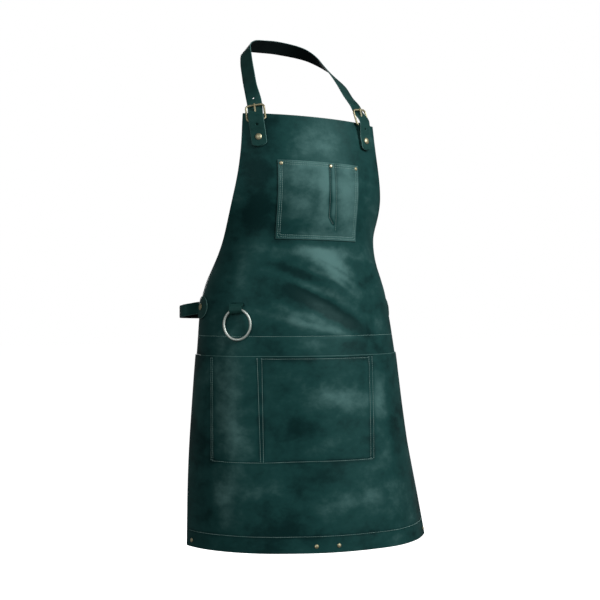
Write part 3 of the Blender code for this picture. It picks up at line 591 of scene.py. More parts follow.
def flesh_material(name, dark, pale):
    """The leather's unfinished back: matt and fibrous."""
    made, where, surface = new_material(name, Specular_IOR_Level=0.10)
    cloud = noise(where, 14.0, 5.0, 0.6)
    fibre = noise(where, 700.0, 3.0, 0.6)
    shade = cloud.between(0.35, 0.65).mix(colour(*dark), colour(*pale))
    tips = colour(*(2.2 * p for p in pale))
    feed(surface, (fibre.between(0.5, 0.8) * 0.4).mix(shade, tips), "Base Color")
    feed(surface, 0.86 + (fibre - 0.5) * 0.15, "Roughness")
    bump = where.of("ShaderNodeBump", "Normal", Strength=0.45, Distance=0.0005, Height=fibre)
    feed(surface, bump, "Normal")
    return made


def thread_material():
    """Waxed thread, a little paler than the hide, with its twist and painted shade in its grooves.
    """
    made, where, surface = new_material("waxed_thread", Specular_IOR_Level=0.3)
    twist = noise(where, 2200.0, 2.0)
    tone = noise(where, 40.0, 2.0)
    shade = tone.between(0.3, 0.7).mix(colour(0.240, 0.450, 0.420), colour(0.400, 0.640, 0.600))
    # Painted shade in the grooves of the twist.
    hollow = twist.between(0.45, 0.6) * 0.4
    feed(surface, hollow.mix(shade, colour(0.03, 0.06, 0.055)), "Base Color")
    feed(surface, 0.60 + (twist - 0.5) * 0.3, "Roughness")
    bump = where.of("ShaderNodeBump", "Normal", Strength=0.5, Distance=0.0002, Height=twist)
    feed(surface, bump, "Normal")
    return made


def metal_material(name, dark, pale, rough, worn_scale):
    """Plated or plain metal, dull in its hollows and rubbed bright."""
    made, where, surface = new_material(name, Metallic=1.0)
    tarnish = noise(where, worn_scale, 5.0, 0.65, 0.3)
    fine = noise(where, worn_scale * 8, 4.0, 0.6)
    mask = (tarnish * 0.7 + fine * 0.3).between(0.40, 0.60)
    feed(surface, mask.mix(colour(*dark), colour(*pale)), "Base Color")
    feed(surface, rough + 0.22 * (1 - mask) + (fine - 0.5) * 0.15, "Roughness")
    scratches = noise(where, worn_scale * 14, 3.0, 0.7)
    bump = where.of("ShaderNodeBump", "Normal", Strength=0.12, Distance=0.0003, Height=scratches)
    feed(surface, bump, "Normal")
    return made


def pale_material(name, tone):
    """The studio's floor, which shines a little so that it stays as pale as the backdrop."""
    made, where, surface = new_material(name, Specular_IOR_Level=0.1, Emission_Strength=0.90,
                                        Emission_Color=colour(1.0, 1.0, 1.0))
    soft = noise(where, 3.0, 2.0)
    feed(surface, soft.mix(colour(tone, tone, tone), colour(tone * 0.99, tone, tone)), "Base Color")
    surface.inputs["Roughness"].default_value = 0.9
    return made


# Meshes

def new_piece(name, points, faces, materials, body="apron"):
    mesh = bpy.data.meshes.new(name)
    mesh.from_pydata([tuple(p) for p in points], [], faces)
    made = bpy.data.objects.new(name, mesh)
    bpy.context.scene.collection.objects.link(made)
    for material in materials:
        mesh.materials.append(material)
    if body:
        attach(made, body)
    return made


def loft_faces(rings, around, closed=False):
    """Faces over a row of rings of points, capped at both ends unless it closes on itself."""
    faces = []
    for ring in range(rings if closed else rings - 1):
        a, b = ring * around, (ring + 1) % rings * around
        for i in range(around):
            j = (i + 1) % around
            faces.append((a + i, a + j, b + j, b + i))
    if not closed:
        faces += [tuple(range(around))[::-1], tuple(range((rings - 1) * around, rings * around))]
    return faces


def ring_points(centre, radius, side, other, sides):
    turns = [2 * math.pi * i / sides for i in range(sides)]
    return [centre + radius * (math.cos(t) * side + math.sin(t) * other) for t in turns]


def set_shares(piece, **shares):
    """Stores a number from 0 to 1 at each point of a piece, for its material."""
    for name, values in shares.items():
        made = piece.data.attributes.new(name, "FLOAT", "POINT")
        made.data.foreach_set("value", np.asarray(values, float))


def finish_mesh(piece, merge=0.0):
    """Merges doubled points, turns the faces out and shades them smooth."""
    body = bmesh.new()
    body.from_mesh(piece.data)
    if merge:
        bmesh.ops.remove_doubles(body, verts=body.verts, dist=merge)
        bmesh.ops.dissolve_degenerate(body, edges=body.edges, dist=merge / 2)
    bmesh.ops.recalc_face_normals(body, faces=body.faces)
    for face in body.faces:
        face.smooth = True
    body.to_mesh(piece.data)
    body.free()


def apply_modifiers(piece):
    graph = bpy.context.evaluated_depsgraph_get()
    piece.data = bpy.data.meshes.new_from_object(piece.evaluated_get(graph))
    piece.modifiers.clear()


def punch(piece, cutters):
    """Cuts holes in a piece and throws the cutters away."""
    for cutter in cutters:
        modifier = piece.modifiers.new(cutter.name, "BOOLEAN")
        modifier.object = cutter
        modifier.operation = "DIFFERENCE"
        modifier.solver = "EXACT"
    apply_modifiers(piece)
    for cutter in cutters:
        bpy.data.objects.remove(cutter, do_unlink=True)


def lines(start, end, radius, pitch, extra=()):
    """Grid lines from start to end, close together at the rounded edges and the extras."""
    close = [radius * share for share in (*EDGE_STEPS, 1.8)]
    wanted = [start + c for c in close] + [end - c for c in close]
    for line in extra:
        wanted += [line + step * SEAM_STEP for step in (-2, -1, 0, 1, 2)]
    count = round((end - start) / pitch)
    spread = [start + (end - start) * i / count for i in range(1, count)]
    spread = [line for line in spread if min(abs(line - w) for w in wanted) > pitch * 0.35]
    return np.array(sorted(set(wanted + spread)))


def rounding(edge, radius):
    """How far a face falls away at a distance from a rounded edge."""
    near = np.clip(1 - edge / radius, 0.0, 1.0)
    return radius * (1 - np.sqrt(np.clip(1 - near ** 2, 0.0, 1.0)))


def hide_sheet(name, across, down, edge, lift, puff, groove, looks, tone, slit=None):
    """A closed sheet of hide that follows the worn form, with rounded edges."""
    radius = LEATHER / 2
    fall = rounding(edge, radius)
    groove = groove * np.clip(edge / LEATHER, 0.0, 1.0)
    inner = worn(across, down, lift + puff + fall)[0]
    outer = worn(across, down, lift + puff + LEATHER - fall - groove)[0]
    rows, columns = across.shape
    count = rows * columns
    at = np.arange(count).reshape(rows, columns)
    a, b, c, d = at[:-1, :-1], at[:-1, 1:], at[1:, 1:], at[1:, :-1]
    keep = np.ones(a.shape, bool)
    if slit is not None:
        middle_across = (across[:-1, :-1] + across[1:, 1:]) / 2
        middle_down = (down[:-1, :-1] + down[1:, 1:]) / 2
        keep = (abs(middle_across - slit[0]) >= slit[1]) | (abs(middle_down - slit[2]) >= slit[3])
    # A corner cell is split at its corner, because its other diagonal has no thickness.
    corners = {0, columns - 1, count - columns, count - 1}
    outside = []
    for cell in np.stack((a, d, c, b), axis=-1)[keep].tolist():
        first = next((i for i, point in enumerate(cell) if point in corners), None)
        if first is None:
            outside.append(cell)
        else:
            cell = cell[first:] + cell[:first]
            outside += [cell[:3], [cell[0], cell[2], cell[3]]]
    faces = outside + [[point + count for point in face[::-1]] for face in outside]
    for row, col in zip(*np.nonzero(~keep)):
        sides = (((row, col), (row, col + 1), (row - 1, col)),
                 ((row, col + 1), (row + 1, col + 1), (row, col + 1)),
                 ((row + 1, col + 1), (row + 1, col), (row + 1, col)),
                 ((row + 1, col), (row, col), (row, col - 1)))
        for here, there, beyond in sides:
            if keep[beyond]:
                i, j = int(at[here]), int(at[there])
                faces.append((i, j, j + count, i + count))
    points = np.concatenate((outer.reshape(-1, 3), inner.reshape(-1, 3)))
    piece = new_piece(name, points, faces, looks)
    flat = np.zeros(len(faces), int)
    flat[len(outside):2 * len(outside)] = 1
    piece.data.polygons.foreach_set("material_index", flat)
    rim = np.clip(1 - edge / (RIM_REACH * radius), 0.0, 1.0).ravel()
    # The tone holds the hide's pull-up together with painted highlights and painted shade.
    pulled = (tone + pull_up_and_light(across, down)).ravel()
    set_shares(piece, rim=np.concatenate((rim, rim)), pulled=np.concatenate((pulled, pulled)))
    finish_mesh(piece, MERGE)
    return piece


def pull_up_and_light(across, down):
    """How pale the hide is at a place: its pull-up patches with painted highlights and painted
    shade, and painted highlight on the crowns of its folds with painted shade in their hollows.
    """
    # Painted highlight on the crowns of the folds and creases, painted shade in their hollows.
    share = HIDE_TONE + fold_height(across, down, FOLDS) / FOLD_FOR_PAINTED_LIGHT
    share = share + fold_height(across, down, CREASES) / CREASE_FOR_PAINTED_LIGHT
    for patch in PULL_UP_AND_LIGHT_PATCHES:
        cos, sin = math.cos(math.radians(patch.turn)), math.sin(math.radians(patch.turn))
        x = across / SKIRT_HALF - patch.across
        y = (down - patch.down * APRON_LENGTH) / SKIRT_HALF
        x, y = x * cos + y * sin, y * cos - x * sin
        away = (x / patch.width) ** 2 + (y / patch.height) ** 2
        share = share + patch.pale * np.exp(-away * PATCH_FALL)
    return share


def near_seam(across, down, seams, reach):
    """1 on a stitch line and 0 away from it."""
    share = np.zeros_like(across)
    for x0, y0, x1, y1 in seams:
        run = np.array((x1 - x0, y1 - y0))
        along = ((across - x0) * run[0] + (down - y0) * run[1]) / run.dot(run)
        along = np.clip(along, 0.0, 1.0)
        away = np.hypot(across - x0 - along * run[0], down - y0 - along * run[1])
        share = np.maximum(share, np.exp(-(away / reach) ** 2))
    return share


def seam_lines(seams, half=SKIRT_HALF, top=0.0, height=APRON_LENGTH):
    """Stitch lines that are given in shares, as places on the hide."""
    return [(s.across * half, top + s.down * height, s.to_across * half, top + s.to_down * height)
            for s in seams]


def pen_lines(seams):
    return seam_lines(seams, POCKET_HALF, POCKET_DROP, POCKET_HEIGHT)


def pocket_lines():
    """The chest pocket's two rows of stitches and its pen compartment, as places on the hide."""
    made = []
    for inset in ROWS:
        side, low, high = POCKET_HALF - inset, POCKET_FOOT - inset, POCKET_DROP + inset
        start = POCKET_DROP + ROW_INSET
        made += [(-side, start, -side, low), (side, start, side, low)]
        made += [(-side, low, side, low), (-side, high, side, high)]
    return made + pen_lines(PEN_CREASE + PEN_DIVIDER)


def make_body_panel(looks):
    """The main hide, with the slit for the ring's loop."""
    slit = (-RING_AT, RING_LOOP_WIDTH / 2 + SEAT, SLIT_DROP, SLIT_HEIGHT / 2)
    rows = lines(0.0, APRON_LENGTH, LEATHER / 2, CELL, [WAIST_SEAM.down * APRON_LENGTH])
    rows = rows[(abs(rows - SLIT_DROP) > SLIT_HEIGHT)]
    ends = [SLIT_DROP - SLIT_HEIGHT / 2, SLIT_DROP, SLIT_DROP + SLIT_HEIGHT / 2]
    rows = np.array(sorted(list(rows) + ends))
    plain = lines(-SKIRT_HALF, SKIRT_HALF, LEATHER / 2, CELL)
    sides = [slit[0] - slit[1], slit[0] + slit[1]]
    plain = plain[np.min([abs(plain - side) for side in sides], axis=0) > CELL / 3]
    plain = np.array(sorted(list(plain) + sides))
    across, down = np.meshgrid(plain, rows)
    inside = SKIRT_HALF - abs(across)
    half = half_width(down)
    margin = 2 * LEATHER
    squeezed = np.abs(across) * (half - margin) / (SKIRT_HALF - margin)
    across = np.copysign(np.where(inside < margin, half - inside, squeezed), across)
    edge = np.minimum(np.minimum(inside, down), APRON_LENGTH - down)
    groove = SEAM_DENT * near_seam(across, down, seam_lines((WAIST_SEAM,)), SEAM_REACH)
    piece = hide_sheet("body_panel_hide", across, down, edge, 0.0, 0.0, groove, looks, 0.0, slit)
    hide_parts("body_panel")
    widths = 2 * half_width(rows)
    flat = float(np.sum((widths[1:] + widths[:-1]) / 2 * np.diff(rows)))


def skirt_puff(across, down):
    """How far the skirt panel stands off between its stitch lines, most at its mouth."""
    held = near_seam(across, down, seam_lines(SKIRT_POCKET_SEAMS), SKIRT_SWELL_REACH)
    mouth = np.exp(-((down - SKIRT_PANEL_DROP) / SKIRT_MOUTH_REACH) ** 2)
    front = np.clip(SKIRT_SWELL_TOP - np.abs(across) / (SKIRT_SWELL_HALF * SKIRT_HALF), 0.0, 1.0)
    return (SKIRT_SWELL + SKIRT_MOUTH_SWELL * mouth) * (1 - held) * front


def make_skirt_panel(looks):
    """The front layer, its mouth standing a little open between the dividers."""
    seams = seam_lines(SKIRT_SEAMS)
    levels = {round(y, 5) for seam in seams for y in seam[1::2] if abs(seam[1] - seam[3]) < LEVEL}
    sides = [(x0 + x1) / 2 for x0, y0, x1, y1 in seams if abs(y0 - y1) >= LEVEL]
    # Only every second level gets rows of its own, so that near ones don't crowd.
    rows = lines(SKIRT_PANEL_DROP, APRON_LENGTH, LEATHER / 2, CELL, sorted(levels)[::2])
    columns = lines(-SKIRT_HALF, SKIRT_HALF, LEATHER / 2, CELL, sides)
    across, down = np.meshgrid(columns, rows)
    edge = np.minimum(SKIRT_HALF - abs(across), down - SKIRT_PANEL_DROP)
    edge = np.minimum(edge, APRON_LENGTH - down)
    puff = skirt_puff(across, down)
    groove = SEAM_DENT * near_seam(across, down, seams, SEAM_REACH)
    # Painted shade along the stitch lines.
    tone = SKIRT_SEAM_SHADE * near_seam(across, down, seams, SKIRT_SEAM_SHADE_REACH)
    piece = hide_sheet("skirt_panel_hide", across, down, edge, LEATHER + GAP, puff, groove, looks,
                       tone)
    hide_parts("skirt_panel")


def pocket_puff(across, down):
    """How far the chest pocket's face swells between its stitch lines."""
    side = np.clip((POCKET_HALF - ROWS[1] - abs(across)) / POCKET_SIDE_RISE, 0.0, 1.0)
    low = np.clip((POCKET_FOOT - ROWS[1] - down) / POCKET_FOOT_RISE, 0.0, 1.0)
    swell = np.sin(side * math.pi / 2) * np.sin(low * math.pi / 2)
    dip = near_seam(across, down, pen_lines(PEN_CREASE + PEN_DIVIDER), PEN_DIP_REACH)
    mouth = np.exp(-((down - POCKET_DROP) / POCKET_MOUTH_REACH) ** 2)
    return swell * (POCKET_SWELL + POCKET_MOUTH_SWELL * mouth) * (1 - PEN_DIP * dip)


def make_chest_pocket(looks):
    """The patch pocket, creased where the pen compartment is sewn."""
    rows = lines(POCKET_DROP, POCKET_FOOT, LEATHER / 2, POCKET_CELL,
                 [POCKET_DROP + i for i in ROWS] + [POCKET_FOOT - i for i in ROWS])
    pen = [s.across * POCKET_HALF for s in PEN_CREASE[:1] + PEN_DIVIDER]
    columns = lines(-POCKET_HALF, POCKET_HALF, LEATHER / 2, POCKET_CELL,
                    [s * (POCKET_HALF - i) for s in (-1, 1) for i in ROWS] + pen)
    across, down = np.meshgrid(columns, rows)
    edge = np.minimum(np.minimum(POCKET_HALF - abs(across), down - POCKET_DROP),
                      POCKET_FOOT - down)
    crease, divider = pen_lines(PEN_CREASE), pen_lines(PEN_DIVIDER)
    groove = POCKET_DENT * near_seam(across, down, pocket_lines(), POCKET_REACH)
    groove = groove + PEN_DENT * near_seam(across, down, crease + divider, PEN_REACH)
    puff = pocket_puff(across, down)
    # Painted shade along the pen compartment's crease and divider.
    tone = POCKET_TONE + PEN_CREASE_SHADE * near_seam(across, down, crease, PEN_SHADE_REACH)
    tone = tone + PEN_DIVIDER_SHADE * near_seam(across, down, divider, PEN_SHADE_REACH)
    piece = hide_sheet("chest_pocket_hide", across, down, edge, LEATHER + GAP, puff, groove, looks,
                       tone)
    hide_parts("chest_pocket")


def stitch_row(seams, lift_at, seed):
    """Places, directions and outward directions of the stitches along some lines."""
    jitter = np.random.default_rng(seed)
    made = []
    for x0, y0, x1, y1 in seams:
        length = math.hypot(x1 - x0, y1 - y0)
        count = max(2, int(length / STITCH_PITCH))
        share = (np.arange(count) + 0.5) / count
        for end in (-1, 1):
            step = end * STITCH / 2 / length
            made.append((x0 + (x1 - x0) * (share + step), y0 + (y1 - y0) * (share + step)))
    starts = np.concatenate([np.stack(m, axis=-1) for m in made[::2]])
    ends = np.concatenate([np.stack(m, axis=-1) for m in made[1::2]])
    sets = []
    for places in (starts, ends):
        sets.append(worn(places[:, 0], places[:, 1], lift_at(places[:, 0], places[:, 1])))
    lean = jitter.normal(0.0, STITCH_LEAN, (len(starts), 1))
    return sets[0][0], sets[1][0], sets[0][1], lean


def make_stitches(name, seams, lift_at, looks, seed):
    """Small rounded stitches along lines on the hide, joined into one mesh."""
    start, end, out, lean = stitch_row(seams, lift_at, seed)
    ahead = end - start
    ahead /= np.linalg.norm(ahead, axis=1, keepdims=True)
    side = np.cross(out, ahead)
    side /= np.linalg.norm(side, axis=1, keepdims=True)
    rise = np.cross(ahead, side)
    rings = []
    for share, width, height in STITCH_PROFILE:
        middle = start + (end - start) * share + rise * (height * THREAD / 2)
        middle = middle + side * lean * (2 * share - 1)
        rings += ring_points(middle, width * THREAD / 2, side, rise, STITCH_SIDES)
    points = np.stack(rings, axis=1)
    each = points.shape[1]
    pattern = loft_faces(len(STITCH_PROFILE), STITCH_SIDES)
    faces = [tuple(number * each + i for i in face)
             for number in range(len(points)) for face in pattern]
    piece = new_piece(name, points.reshape(-1, 3), faces, looks)
    finish_mesh(piece)


def smooth_path(points, pitch):
    """Points about a pitch apart on a smooth curve through the given ones."""
    marks = [0.0]
    for here, there in zip(points, points[1:]):
        marks.append(marks[-1] + (there - here).length)
    marks = np.array(marks)
    places = np.linspace(0.0, marks[-1], max(2, round(marks[-1] / pitch)) + 1)
    axes = [through(places, marks, np.array([p[i] for p in points])) for i in range(3)]
    return np.stack(axes, axis=-1), places, marks


def along_path(places, marks, edges):
    axes = [through(places, marks, np.array([edge[i] for edge in edges])) for i in range(3)]
    edges = np.stack(axes, axis=-1)
    return edges / np.linalg.norm(edges, axis=1, keepdims=True)


def strap_sheet(name, centres, edges, halves, outward, looks):
    """A strap with rounded edges: its middle line, one edge's direction, half widths.

    outward says which way its grain side faces at its first point.
    """
    ahead = np.gradient(centres, axis=0)
    ahead /= np.linalg.norm(ahead, axis=1, keepdims=True)
    normal = np.cross(ahead, edges)
    normal /= np.linalg.norm(normal, axis=1, keepdims=True)
    side = np.cross(normal, ahead)
    if normal[0].dot(np.array(outward)) < 0:
        normal = -normal
    radius = LEATHER / 2
    insets = np.array(EDGE_STEPS) * radius
    inner_steps = np.linspace(-1, 1, 7)[1:-1]
    row = [(-1, 0.0, inset) for inset in insets]
    row += [(0, step, radius) for step in inner_steps]
    row += [(1, 0.0, inset) for inset in insets[::-1]]
    columns = []
    rims = []
    for face, order in ((1, row), (-1, row[::-1])):
        for end, step, inset in order:
            reach = end * (halves - inset) if end else step * (halves - radius)
            height = face * (radius - rounding(np.array(inset), radius))
            columns.append(centres + side * reach[:, None] + normal * height)
            rims.append(1.0 if end and inset < radius else 0.0)
    grid_points = np.stack(columns, axis=1)
    rows, around = grid_points.shape[:2]
    faces = loft_faces(rows, around)
    piece = new_piece(name, grid_points.reshape(-1, 3), faces, looks)
    under = [int(around / 2 + 1 < i % around < around - 2) for i in range(len(faces) - 2)]
    piece.data.polygons.foreach_set("material_index", under + [0, 0])
    set_shares(piece, rim=np.tile(np.array(rims), rows))
    finish_mesh(piece, MERGE)
    return piece


def bar_heights():
    """How far out the lower bar, the strap over it and the top bar stand from the bib."""
    lower = GAP + CHAPE_LEATHER + GAP + WIRE_R
    over = lower + WIRE_R + GAP + CHAPE_LEATHER + GAP + LEATHER / 2
    return Bars(lower, over, LEATHER / 2 - BEHIND_BIB + GAP + WIRE_R)


def strap_side(side):
    """Middle points and edge directions of one side of the neck strap, tip to nape."""
    spot = bib_frame(side)
    over = bar_heights().over
    flat = GAP + 2 * CHAPE_LEATHER + GAP + LEATHER / 2
    top = BUCKLE_PITCH - LOWER_BAR_DROP
    # Out and up, from the tip over the chape to where the bends over the prong start.
    profile = [
        (flat, -TIP_BELOW_BIB),
        (flat, -0.72 * TIP_BELOW_BIB),
        (flat + GAP / 3, -LOWER_BAR_DROP - 0.74 * BUCKLE_PITCH),
        ((flat + over) / 2, -LOWER_BAR_DROP - 0.39 * BUCKLE_PITCH),
        (over, -LOWER_BAR_DROP),
        (over - GAP, -LOWER_BAR_DROP + 0.23 * BUCKLE_PITCH),
    ]
    profile += [(bend.out * over, bend.up * top) for bend in STRAP_BENDS]
    profile += [(-BEHIND_BIB, 0.84 * top), (-BEHIND_BIB - LEATHER * 0.4, top)]
    inward = spot.right * -side
    points = [spot.at(0.0, up, out) for out, up in profile]
    edges = [inward for _ in profile]
    for row in NECK_ROUTE:
        out = (row.right if side < 0 else row.left) * STRAP_AT
        slip = 0.0 if side < 0 else row.slip * NECK_RISE
        back = row.back * NAPE_BACK - NAPE_BACK
        points.append(Vector((side * out, back, NECK_RISE * (row.rise - 1) - slip)))
        inward, front, up = row.right_edge if side < 0 else row.left_edge
        edges.append(Vector((-side * inward, -front, up)))
    return points, edges


def rod(name, start, end, radius, sides=20):
    """A plain round bar between two points, for cutting with."""
    axis = (end - start).normalized()
    side = axis.orthogonal().normalized()
    points = [point for centre in (start, end)
              for point in ring_points(centre, radius, side, axis.cross(side), sides)]
    made = new_piece(name, points, loft_faces(2, sides), (), None)
    finish_mesh(made)
    return made


def prong_line(up):
    """How far out the prong's middle stands at a height above the bib's edge."""
    bars = bar_heights()
    rest = bars.upper + WIRE_R + GAP + PRONG_THICK / 2
    return bars.lower + (rest - bars.lower) * (up + LOWER_BAR_DROP) / BUCKLE_PITCH


def punched_holes(centres, directions, places):
    """Cutters for the strap's holes: below the prong, at the prong and above it."""
    cutters = []
    for side, end in ((-1, 0.0), (1, places[-1])):
        spot = bib_frame(side)
        start = spot.at(0.0, PRONG_HOLE_RISE - STRAP_HOLE_PITCH, PUNCH_START)
        cutters.append(rod("punch_low", start, start + 2 * PUNCH_REACH * spot.out, STRAP_HOLE / 2))
        middle = spot.at(0.0, PRONG_HOLE_RISE, prong_line(PRONG_HOLE_RISE))
        reach = PRONG_PUNCH[1] * spot.out + PRONG_PUNCH[0] * spot.up
        cutters.append(rod("punch_prong", middle - reach, middle + reach, STRAP_HOLE / 2))
        from_end = PRONG_HOLE_AT + STRAP_HOLE_PITCH
        i = int(np.argmin(np.abs(places - abs(end - from_end))))
        ahead = Vector(centres[i + 1] - centres[i - 1]).normalized()
        through_strap = ahead.cross(Vector(directions[i])).normalized() * PUNCH_REACH
        centre = Vector(centres[i])
        cutters.append(rod("punch_high", centre - through_strap, centre + through_strap,
                           STRAP_HOLE / 2))
    return cutters


def make_neck_strap(looks):
    """One strap from tip to tip, through both buckles and round the nape."""
    right, right_edges = strap_side(-1)
    left, left_edges = strap_side(1)
    knots = right + [Vector((0.0, LEATHER / 2, 0.0))] + left[::-1]
    edges = right_edges + [NAPE_EDGE] + left_edges[::-1]
    centres, places, marks = smooth_path(knots, STRAP_CELL)
    directions = along_path(places, marks, edges)
    radius = ((STRAP_WIDTH / 2) ** 2 + TIP_POINT ** 2) / (2 * TIP_POINT)
    near = np.minimum(places, places[-1] - places) + TIP_BLUNT
    arch = np.sqrt(radius ** 2 - np.clip(radius - near, 0.0, None) ** 2)
    halves = np.where(near < TIP_POINT, arch, STRAP_WIDTH / 2)
    strap = strap_sheet("neck_strap_leather", centres, directions, halves, bib_frame(-1).out,
                        looks)
    punch(strap, punched_holes(centres, directions, places))
    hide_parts("neck_strap")


def make_waist_straps(looks):
    """Two straps from the paddles on the waist corners to the clasp behind."""
    level = -NECK_RISE - PADDLE_DROP
    radius, strap_half = PADDLE_WIDTH / 2, WAIST_STRAP_WIDTH / 2
    lift = LEATHER + 2 * SEAT + LEATHER / 2
    for side, word in SIDES:
        start = PADDLE_AT - radius
        points, edges = [], []
        for across in np.linspace(start, SKIRT_HALF, 5):
            upper = place(side * across, PADDLE_DROP - radius, lift)[0]
            lower = place(side * across, PADDLE_DROP + radius, lift)[0]
            middle, normal = place(side * across, PADDLE_DROP, lift)
            chord = (upper + lower) / 2
            points.append(chord + max(0.0, (middle - chord).dot(normal)) * normal)
            points[-1].z = level
            edges.append((upper - lower).normalized() * side)
        for turn in WAIST_ROUTE:
            back = turn.back * WAIST_BACK + WAIST_CORNER_BACK * (1 - turn.back) - NAPE_BACK
            points.append(Vector((side * turn.out * WAIST_HALF_BREADTH, back,
                                  level - turn.fall * WAIST_STRAP_FALL)))
        end = Vector((side * STRAP_END_GAP / 2, WAIST_BACK - NAPE_BACK, level - WAIST_STRAP_FALL))
        points += [Vector((side * CLASP_LENGTH * CLASP_LEAD, end.y, end.z)), end]
        edges += [Vector((0.0, 0.0, side)) for _ in points[len(edges):]]
        centres, places, marks = smooth_path(points, STRAP_CELL)
        past = places + PADDLE_BLUNT
        ease = np.clip((past - radius) / (PADDLE_NECK * radius), 0.0, 1.0)
        taper = radius + (strap_half - radius) * ease * ease * (3 - 2 * ease)
        arch = np.sqrt(np.clip(radius ** 2 - np.clip(radius - past, 0.0, None) ** 2, 0.0, None))
        halves = np.where(past < radius, arch, taper)
        directions = along_path(places, marks, edges)
        strap = strap_sheet(f"waist_strap_{word}_leather", centres, directions, halves,
                            place(side * start, PADDLE_DROP)[1], looks)
        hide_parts(f"waist_strap_{word}")


def tube(name, centres, radius, looks, body="apron", sides=18):
    """A closed loop of round wire."""
    centres = np.array([tuple(c) for c in centres])
    count = len(centres)
    ahead = np.roll(centres, -1, axis=0) - np.roll(centres, 1, axis=0)
    ahead /= np.linalg.norm(ahead, axis=1, keepdims=True)
    flat = np.cross(centres[0] - centres.mean(axis=0), centres[count // 4] - centres.mean(axis=0))
    flat /= np.linalg.norm(flat)
    side = np.cross(ahead, flat)
    side /= np.linalg.norm(side, axis=1, keepdims=True)
    rings = [centres + radius * (math.cos(t) * side + math.sin(t) * flat)
             for t in np.linspace(0, 2 * math.pi, sides, endpoint=False)]
    points = np.stack(rings, axis=1).reshape(-1, 3)
    piece = new_piece(name, points, loft_faces(count, sides, closed=True), looks, body)
    finish_mesh(piece)
    return piece


def arc(centre, radius, start, end, steps):
    """Points of an arc, angles in degrees."""
    turns = [math.radians(start + (end - start) * i / steps) for i in range(steps + 1)]
    return [(centre[0] + radius * math.cos(t), centre[1] + radius * math.sin(t)) for t in turns]


def make_buckle(side, word, looks):
    """The wire frame, its upper corners rounder than its lower ones."""
    spot = bib_frame(side)
    bars = bar_heights()
    half = BUCKLE_INSIDE / 2 + WIRE_R
    corners = ((half, 0.0, 2 * WIRE_R), (half, 1.0, BUCKLE_CORNER))
    corners += ((-half, 1.0, BUCKLE_CORNER), (-half, 0.0, 2 * WIRE_R))
    outline = []
    for (right, share, radius), start in zip(corners, (-90, 0, 90, 180)):
        sign = 1 if share == 0.0 else -1
        middle = (right - math.copysign(radius, right), share * BUCKLE_PITCH + sign * radius)
        outline += arc(middle, radius, start, start + 90, 10)
    points = []
    for here, there in zip(outline, outline[1:] + outline[:1]):
        gap = math.hypot(there[0] - here[0], there[1] - here[1])
        steps = max(1, round(gap / WIRE_CELL))
        for i in range(steps):
            right = here[0] + (there[0] - here[0]) * i / steps
            along = here[1] + (there[1] - here[1]) * i / steps
            out = bars.lower + (bars.upper - bars.lower) * along / BUCKLE_PITCH
            points.append(spot.at(right, along - LOWER_BAR_DROP, out))
    wire = tube(f"buckle_wire_{word}", points, WIRE_R, looks)
    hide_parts(f"buckle_frame_{word}")


def stud_head(name, seat, normal, width, looks, nodes):
    """A domed head with a rolled rim."""
    side = normal.orthogonal().normalized()
    other = normal.cross(side)
    points = []
    for reach, rise in DOME_PROFILE:
        centre = seat + rise * DOME * width * normal
        points += ring_points(centre, reach * width, side, other, DOME_SIDES)
    piece = new_piece(name, points, loft_faces(len(DOME_PROFILE), DOME_SIDES), looks)
    finish_mesh(piece)
    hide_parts(*nodes)


def make_studs(looks):
    strap_face = 2 * CHAPE_LEATHER + 3 * GAP + LEATHER
    for side, word in SIDES:
        spot = bib_frame(side)
        seat = spot.at(0.0, -STRAP_STUD_DROP, strap_face - GAP)
        stud_head(f"strap_stud_{word}_head", seat, spot.out, STRAP_STUD, looks,
                  [f"strap_stud_{word}"])
        lift = 2 * LEATHER + 2 * SEAT
        point = place(side * PADDLE_AT, PADDLE_DROP, lift)[0]
        normal = true_normal(side * PADDLE_AT, PADDLE_DROP, WAIST_STUD)
        stud_head(f"waist_stud_{word}_head", point + SEAT / 2 * normal, normal, WAIST_STUD, looks,
                  [f"waist_stud_{word}"])
    top = POCKET_DROP + RIVET_INSET
    spots = (-POCKET_HALF + RIVET_INSET, MIDDLE_RIVET * POCKET_HALF, POCKET_HALF - RIVET_INSET)
    for number, across in enumerate(spots, 1):
        lift = 2 * LEATHER + GAP + float(pocket_puff(np.array(across), np.array(top)))
        point = place(across, top, lift)[0]
        normal = true_normal(across, top, POCKET_RIVET)
        stud_head(f"pocket_rivet_{number}_head", point, normal, POCKET_RIVET, looks,
                  [f"pocket_rivet_{number}"])
    level = APRON_LENGTH - HEM_STUD_INSET
    corner = SKIRT_HALF - HEM_STUD_CORNER
    for number, across in enumerate((-corner, -HEM_STUD_PAIR / 2, HEM_STUD_PAIR / 2, corner), 1):
        point = place(across, level, 2 * LEATHER + GAP + SKIRT_SWELL)[0]
        normal = true_normal(across, level, HEM_STUD)
        stud_head(f"hem_stud_{number}_head", point, normal, HEM_STUD, looks, [f"hem_stud_{number}"])


